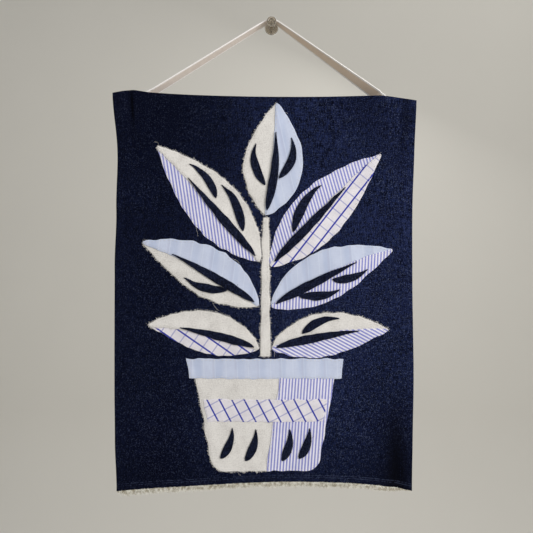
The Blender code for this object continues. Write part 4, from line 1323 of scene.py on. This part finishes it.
patch_rims.append(make_stem())
for leaf in LEAVES:
    patch_rims += make_leaf(leaf)

# Dark strips. Veins on the leaves and four strips on the pot, cut freehand from scraps of the same dark
# denim, blunt in the middle and drawn to two points. Raw edges, with a few loose indigo threads.

STRIP_THICKNESS = 0.7
STRIP_END = 0.5
STRIP_BELLY = 0.7
STRIP_ROWS = 36
STRIP_COLUMNS = 6
STRIP_CUT = 0.22
# The threads of a strip's cloth run at this angle, or square to it
STRIP_GRAIN = 20
POT_STRIP_WIDTH = 6.4
POT_STRIP_BOW = 2.4
# Where a vein starts and ends, as shares of the leaf's length and of its half width to the right of the
# midrib, its full width, and its bow as a share of the half width
Vein = namedtuple("Vein", "leaf name start end width bow")
VEINS = (
    Vein("crown", "mid", (0.04, 0.0), (0.74, 0.0), 6.8, 0.06),
    Vein("crown", "side_1", (0.26, -0.24), (0.62, -0.74), 6.6, -0.14),
    Vein("crown", "side_2", (0.34, 0.26), (0.70, 0.70), 6.4, 0.14),
    Vein("upper_left", "mid", (0.04, 0.0), (0.72, 0.0), 6.6, -0.06),
    Vein("upper_left", "side_1", (0.22, 0.28), (0.54, 0.76), 6.8, 0.14),
    Vein("upper_left", "side_2", (0.50, 0.26), (0.78, 0.66), 6.0, 0.12),
    Vein("upper_right", "mid", (0.04, 0.0), (0.70, 0.0), 6.8, 0.06),
    Vein("upper_right", "side_1", (0.26, -0.26), (0.60, -0.76), 7.0, -0.14),
    Vein("middle_left", "mid", (0.04, 0.0), (0.76, 0.0), 6.6, -0.06),
    Vein("middle_left", "side_1", (0.26, -0.28), (0.60, -0.74), 6.4, -0.14),
    Vein("middle_right", "mid", (0.04, 0.0), (0.72, 0.0), 6.8, 0.06),
    Vein("middle_right", "side_1", (0.22, 0.28), (0.52, 0.76), 6.6, 0.14),
    Vein("middle_right", "side_2", (0.50, 0.26), (0.78, 0.68), 6.0, 0.12),
    Vein("lower_left", "mid", (0.04, 0.0), (0.72, 0.0), 6.4, -0.06),
    Vein("lower_right", "mid", (0.04, 0.0), (0.76, 0.0), 6.6, 0.06),
    Vein("lower_right", "side_1", (0.28, -0.30), (0.60, -0.72), 6.4, -0.14),
)
PotStrip = namedtuple("PotStrip", "name foot head")
POT_STRIPS = (
    PotStrip("pot_strip_1", (-39.0, -331.0), (-30.0, -308.0)),
    PotStrip("pot_strip_2", (-20.0, -333.0), (-12.0, -309.0)),
    PotStrip("pot_strip_3", (8.0, -333.0), (14.0, -309.0)),
    PotStrip("pot_strip_4", (21.0, -331.0), (29.0, -308.0)),
)
DARK = Cloth(denim_finish("dark_denim", dye=(4, 6, 17), faded=(28, 34, 58), weft=(64, 72, 100)),
             "dark_denim", 1.3, 0.6, 0.08)


def strip_half_width(width, share):
    """Half width along a strip: fullest a third of the way along, with two narrow ends."""
    return STRIP_END / 2 + (width - STRIP_END) / 2 * np.sin(np.pi * share**STRIP_BELLY)


def vein_line(leaf, vein, step):
    """The middle of a vein: shares of the leaf's length and half width, each run from start to end."""
    share = vein.start[0] + (vein.end[0] - vein.start[0]) * step
    side = vein.start[1] + (vein.end[1] - vein.start[1]) * step + vein.bow * 4 * step * (1 - step)
    midrib = bent_line(leaf.base, leaf.tip, leaf.bend, share)
    return midrib - (side * leaf_half_width(leaf, share))[:, None] * leftward_of(midrib)


def make_strip(node, line, width, lift):
    """A strip's shells, its rim and its middle line, raised by the drop of its ends."""
    half = strip_half_width(width, np.linspace(0, 1, STRIP_ROWS + 1))
    places = hand_cut(ribbon(line, -half, half, STRIP_COLUMNS), STRIP_CUT)
    x, z = places[..., 0], places[..., 1]
    under = cloth_face(x, z) + CLOTH_GAP + lift(x, z)
    seed = sum(node.encode())
    grain = STRIP_GRAIN + 90 * (seed % 2)
    shells, rim, face = cut_cloth(places, under, STRIP_THICKNESS, DARK, grain, seed)
    return shells, rim, face[:, STRIP_COLUMNS // 2] + (0, EDGE_DROP, 0)


def make_strips():
    """Every strip by its node's name."""
    step = np.linspace(0, 1, STRIP_ROWS + 1)
    by_name = {leaf.name: leaf for leaf in LEAVES}
    made = {}
    for vein in VEINS:
        leaf, node = by_name[vein.leaf], f"vein_{vein.leaf}_{vein.name}"
        made[node] = make_strip(node, vein_line(leaf, vein, step), vein.width, over_midrib(leaf))
    for strip in POT_STRIPS:
        line = bent_line(strip.foot, strip.head, POT_STRIP_BOW, step)
        made[strip.name] = make_strip(strip.name, line, POT_STRIP_WIDTH, over_pot_seam)
    return made


strips = make_strips()
strip_parts, strip_rims, strip_middles = zip(*strips.values())
strip_piece, _ = make_piece("dark_denim_strips", sum(strip_parts, []), DARK.finish, list(strips))
strip_sizes = np.array([cut_size(rim) for rim in strip_rims])

# Applique stitching. White thread runs 1.2 mm inside every cotton edge, and navy thread runs down the
# middle of each dark strip, in hand-sewn running stitches.

STITCH_IN = 1.2
APPLIQUE_ARCH = Arch(2.6, 1.4, 0.8)


def along_path(path):
    """Stitches on a line whose out is known at every point, x, out and z: its own height is kept."""
    reach = length_along(path[:, [0, 2]])
    at = stitch_starts(reach)[:, None] + STITCH_LENGTH * np.linspace(0, 1, STITCH_RINGS)
    return arched(*np.moveaxis(read_line(path, reach, at), -1, 0), APPLIQUE_ARCH)


def inside_edge(rim):
    """The rim moved inward, and raised back by the edge's drop."""
    inward = -STITCH_IN * outward_of(rim)
    return rim + np.column_stack([inward[:, 0], np.full(len(rim), EDGE_DROP), inward[:, 1]])


make_piece("applique_stitching", [along_path(inside_edge(rim)) for rim in patch_rims], white_thread)
make_piece("strip_stitching", [along_path(middle) for middle in strip_middles], navy_thread)

# Loose threads. Long single yarns that worked free of the raw edges: pale ones beside the cottons and
# indigo ones at the ends of the dark strips. They lie on the cloth in slow curves.

LOOSE_RINGS = 14
LOOSE_RADIUS = 0.07
LOOSE_LEAST = 0.15
LOOSE_SHORTNESS = 1.6
# Spreads of a thread's heading and of its turn, how high its middle stands, and how soon it comes down
LOOSE_STRAY = 0.6
LOOSE_TURN = 1.4
LOOSE_RISE = (0.2, 0.9)
LOOSE_FALL = 3.0


def loose_threads(painted_rim_highlight, each, longest, seed, finish, name):
    """Threads rooted at random points of the rims, each a slow arc: its heading turns evenly along it."""
    generator = np.random.default_rng(seed)
    roots, leads = [], []
    for rim in painted_rim_highlight:
        pick = generator.integers(0, len(rim), each)
        roots.append(rim[pick])
        leads.append(outward_of(rim)[pick])
    roots, leads = np.concatenate(roots), np.concatenate(leads)
    count = len(roots)
    length = longest * generator.uniform(LOOSE_LEAST, 1.0, count) ** LOOSE_SHORTNESS
    heading = np.arctan2(leads[:, 1], leads[:, 0]) + generator.normal(0, LOOSE_STRAY, count)
    share = np.linspace(0, 1, LOOSE_RINGS)[None, :]
    angle = heading[:, None] + generator.normal(0, LOOSE_TURN, count)[:, None] * share
    step = length[:, None] / (LOOSE_RINGS - 1)
    x = roots[:, :1] + np.cumsum(np.cos(angle), axis=1) * step - step
    z = roots[:, 2:] + np.cumsum(np.sin(angle), axis=1) * step - step
    rise = generator.uniform(*LOOSE_RISE, count)[:, None] * np.sin(np.pi * share)
    denim = denim_front(x, z)
    fall = (roots[:, 1:2] - denim) * np.clip(1 - share * length[:, None] / LOOSE_FALL, 0, 1)
    out = denim + np.maximum(fall, LOOSE_RADIUS) + rise
    shells = [tubes(np.stack([x, out, z], axis=2), np.full(LOOSE_RINGS, LOOSE_RADIUS))]
    make_piece(name, shells, finish)


loose_threads(patch_rims, each=2, longest=8.0, seed=51, finish=white_thread,
              name="loose_pale_threads")
loose_threads(strip_rims, each=3, longest=4.0, seed=52, finish=navy_thread,
              name="loose_indigo_threads")

# Studio. A plain pale floor that curves up into a backdrop well behind the banner, one large soft lamp
# high at the right, a weaker one at the left, and the camera where the photograph was taken from.

SWEEP_FRONT = 6.0
SWEEP_BACK = 1.5
SWEEP_FLOOR = -1.4
SWEEP_HEIGHT = 4.5
SWEEP_RADIUS = 0.7
SWEEP_HALF_WIDTH = 7.0
SWEEP_BEND_POINTS = 25
SWEEP_WIDTH_POINTS = 9
PAPER_CELLS = (0.004, 0.004, 0.004)
CAMERA_AT = (-0.0038, -0.413, -0.1844)
LENS = 36.0
SENSOR = 36.0


def make_sweep():
    """A flat floor, a quarter circle and a flat upright back, carried straight across."""
    turn = np.linspace(0, np.pi / 2, SWEEP_BEND_POINTS)
    y = np.concatenate([[-SWEEP_FRONT], SWEEP_BACK - SWEEP_RADIUS * (1 - np.sin(turn)), [SWEEP_BACK]])
    z = SWEEP_FLOOR + np.concatenate([[0], SWEEP_RADIUS * (1 - np.cos(turn)), [SWEEP_HEIGHT]])
    x = np.linspace(-SWEEP_HALF_WIDTH, SWEEP_HALF_WIDTH, SWEEP_WIDTH_POINTS)
    points = np.stack(np.broadcast_arrays(x, y[:, None], z[:, None]), axis=2).reshape(-1, 3)
    number = np.arange(len(points)).reshape(y.size, x.size)
    faces = quads(number[:-1, :-1], number[:-1, 1:], number[1:, 1:], number[1:, :-1]).tolist()
    paint = Paint("pale_paper", Roughness=0.95)
    grain = paint.noise(paint.place(), PAPER_CELLS)
    paper = paint.feed(Base_Color=paint.mix(grain, colour(221, 218, 211), colour(225, 222, 215)))
    smooth_object("studio_sweep", points, faces, paper)


def add_lamp(name, place, aim, size, power, tint, through=True):
    """A square area lamp whose face is turned to the aim. It may be hidden from clear plastic."""
    lamp = bpy.data.lights.new(name, "AREA")
    lamp.size, lamp.energy, lamp.color = size, power, tint
    made = add_object(name, lamp)
    made.location = place
    made.visible_transmission = through
    away = np.array(place, float) - np.array(aim, float)
    flat = np.hypot(away[0], away[1])
    made.rotation_euler = (np.arctan2(flat, away[2]), 0, np.arctan2(away[1], away[0]) + np.pi / 2)


make_sweep()
add_lamp("key_lamp", (0.9, -0.7, 0.1), (0, 0, -0.15), size=0.7, power=13.0, tint=(1.0, 0.98, 0.96))
add_lamp("fill_lamp", (-0.7, -1.2, 0.9), (0, 0, -0.2), size=0.9, power=5.8, tint=(0.94, 0.97, 1.0))
add_lamp("backdrop_lamp", (1.0, 0.5, 1.3), (1.0, 1.5, 0.9), size=0.5, power=2.8, tint=(1.0, 0.99, 0.95))
add_lamp("back_lamp", (0.5, 0.9, 0.9), (0, 0, -0.2), size=0.9, power=8.0, tint=(1.0, 0.99, 0.97),
         through=False)
world = bpy.data.worlds.new("studio_light")
world.use_nodes = True
light = world.node_tree.nodes["Background"].inputs
light["Color"].default_value = (0.80, 0.80, 0.78, 1.0)
light["Strength"].default_value = 0.45
bpy.context.scene.world = world
bpy.context.scene.view_settings.view_transform = "Standard"

camera = bpy.data.cameras.new("camera")
camera.lens = LENS
camera.sensor_width = SENSOR
camera.clip_start = 0.01
viewer = add_object("camera", camera)
viewer.location = CAMERA_AT
viewer.rotation_euler = (np.pi / 2, 0, 0)
bpy.context.scene.camera = viewer
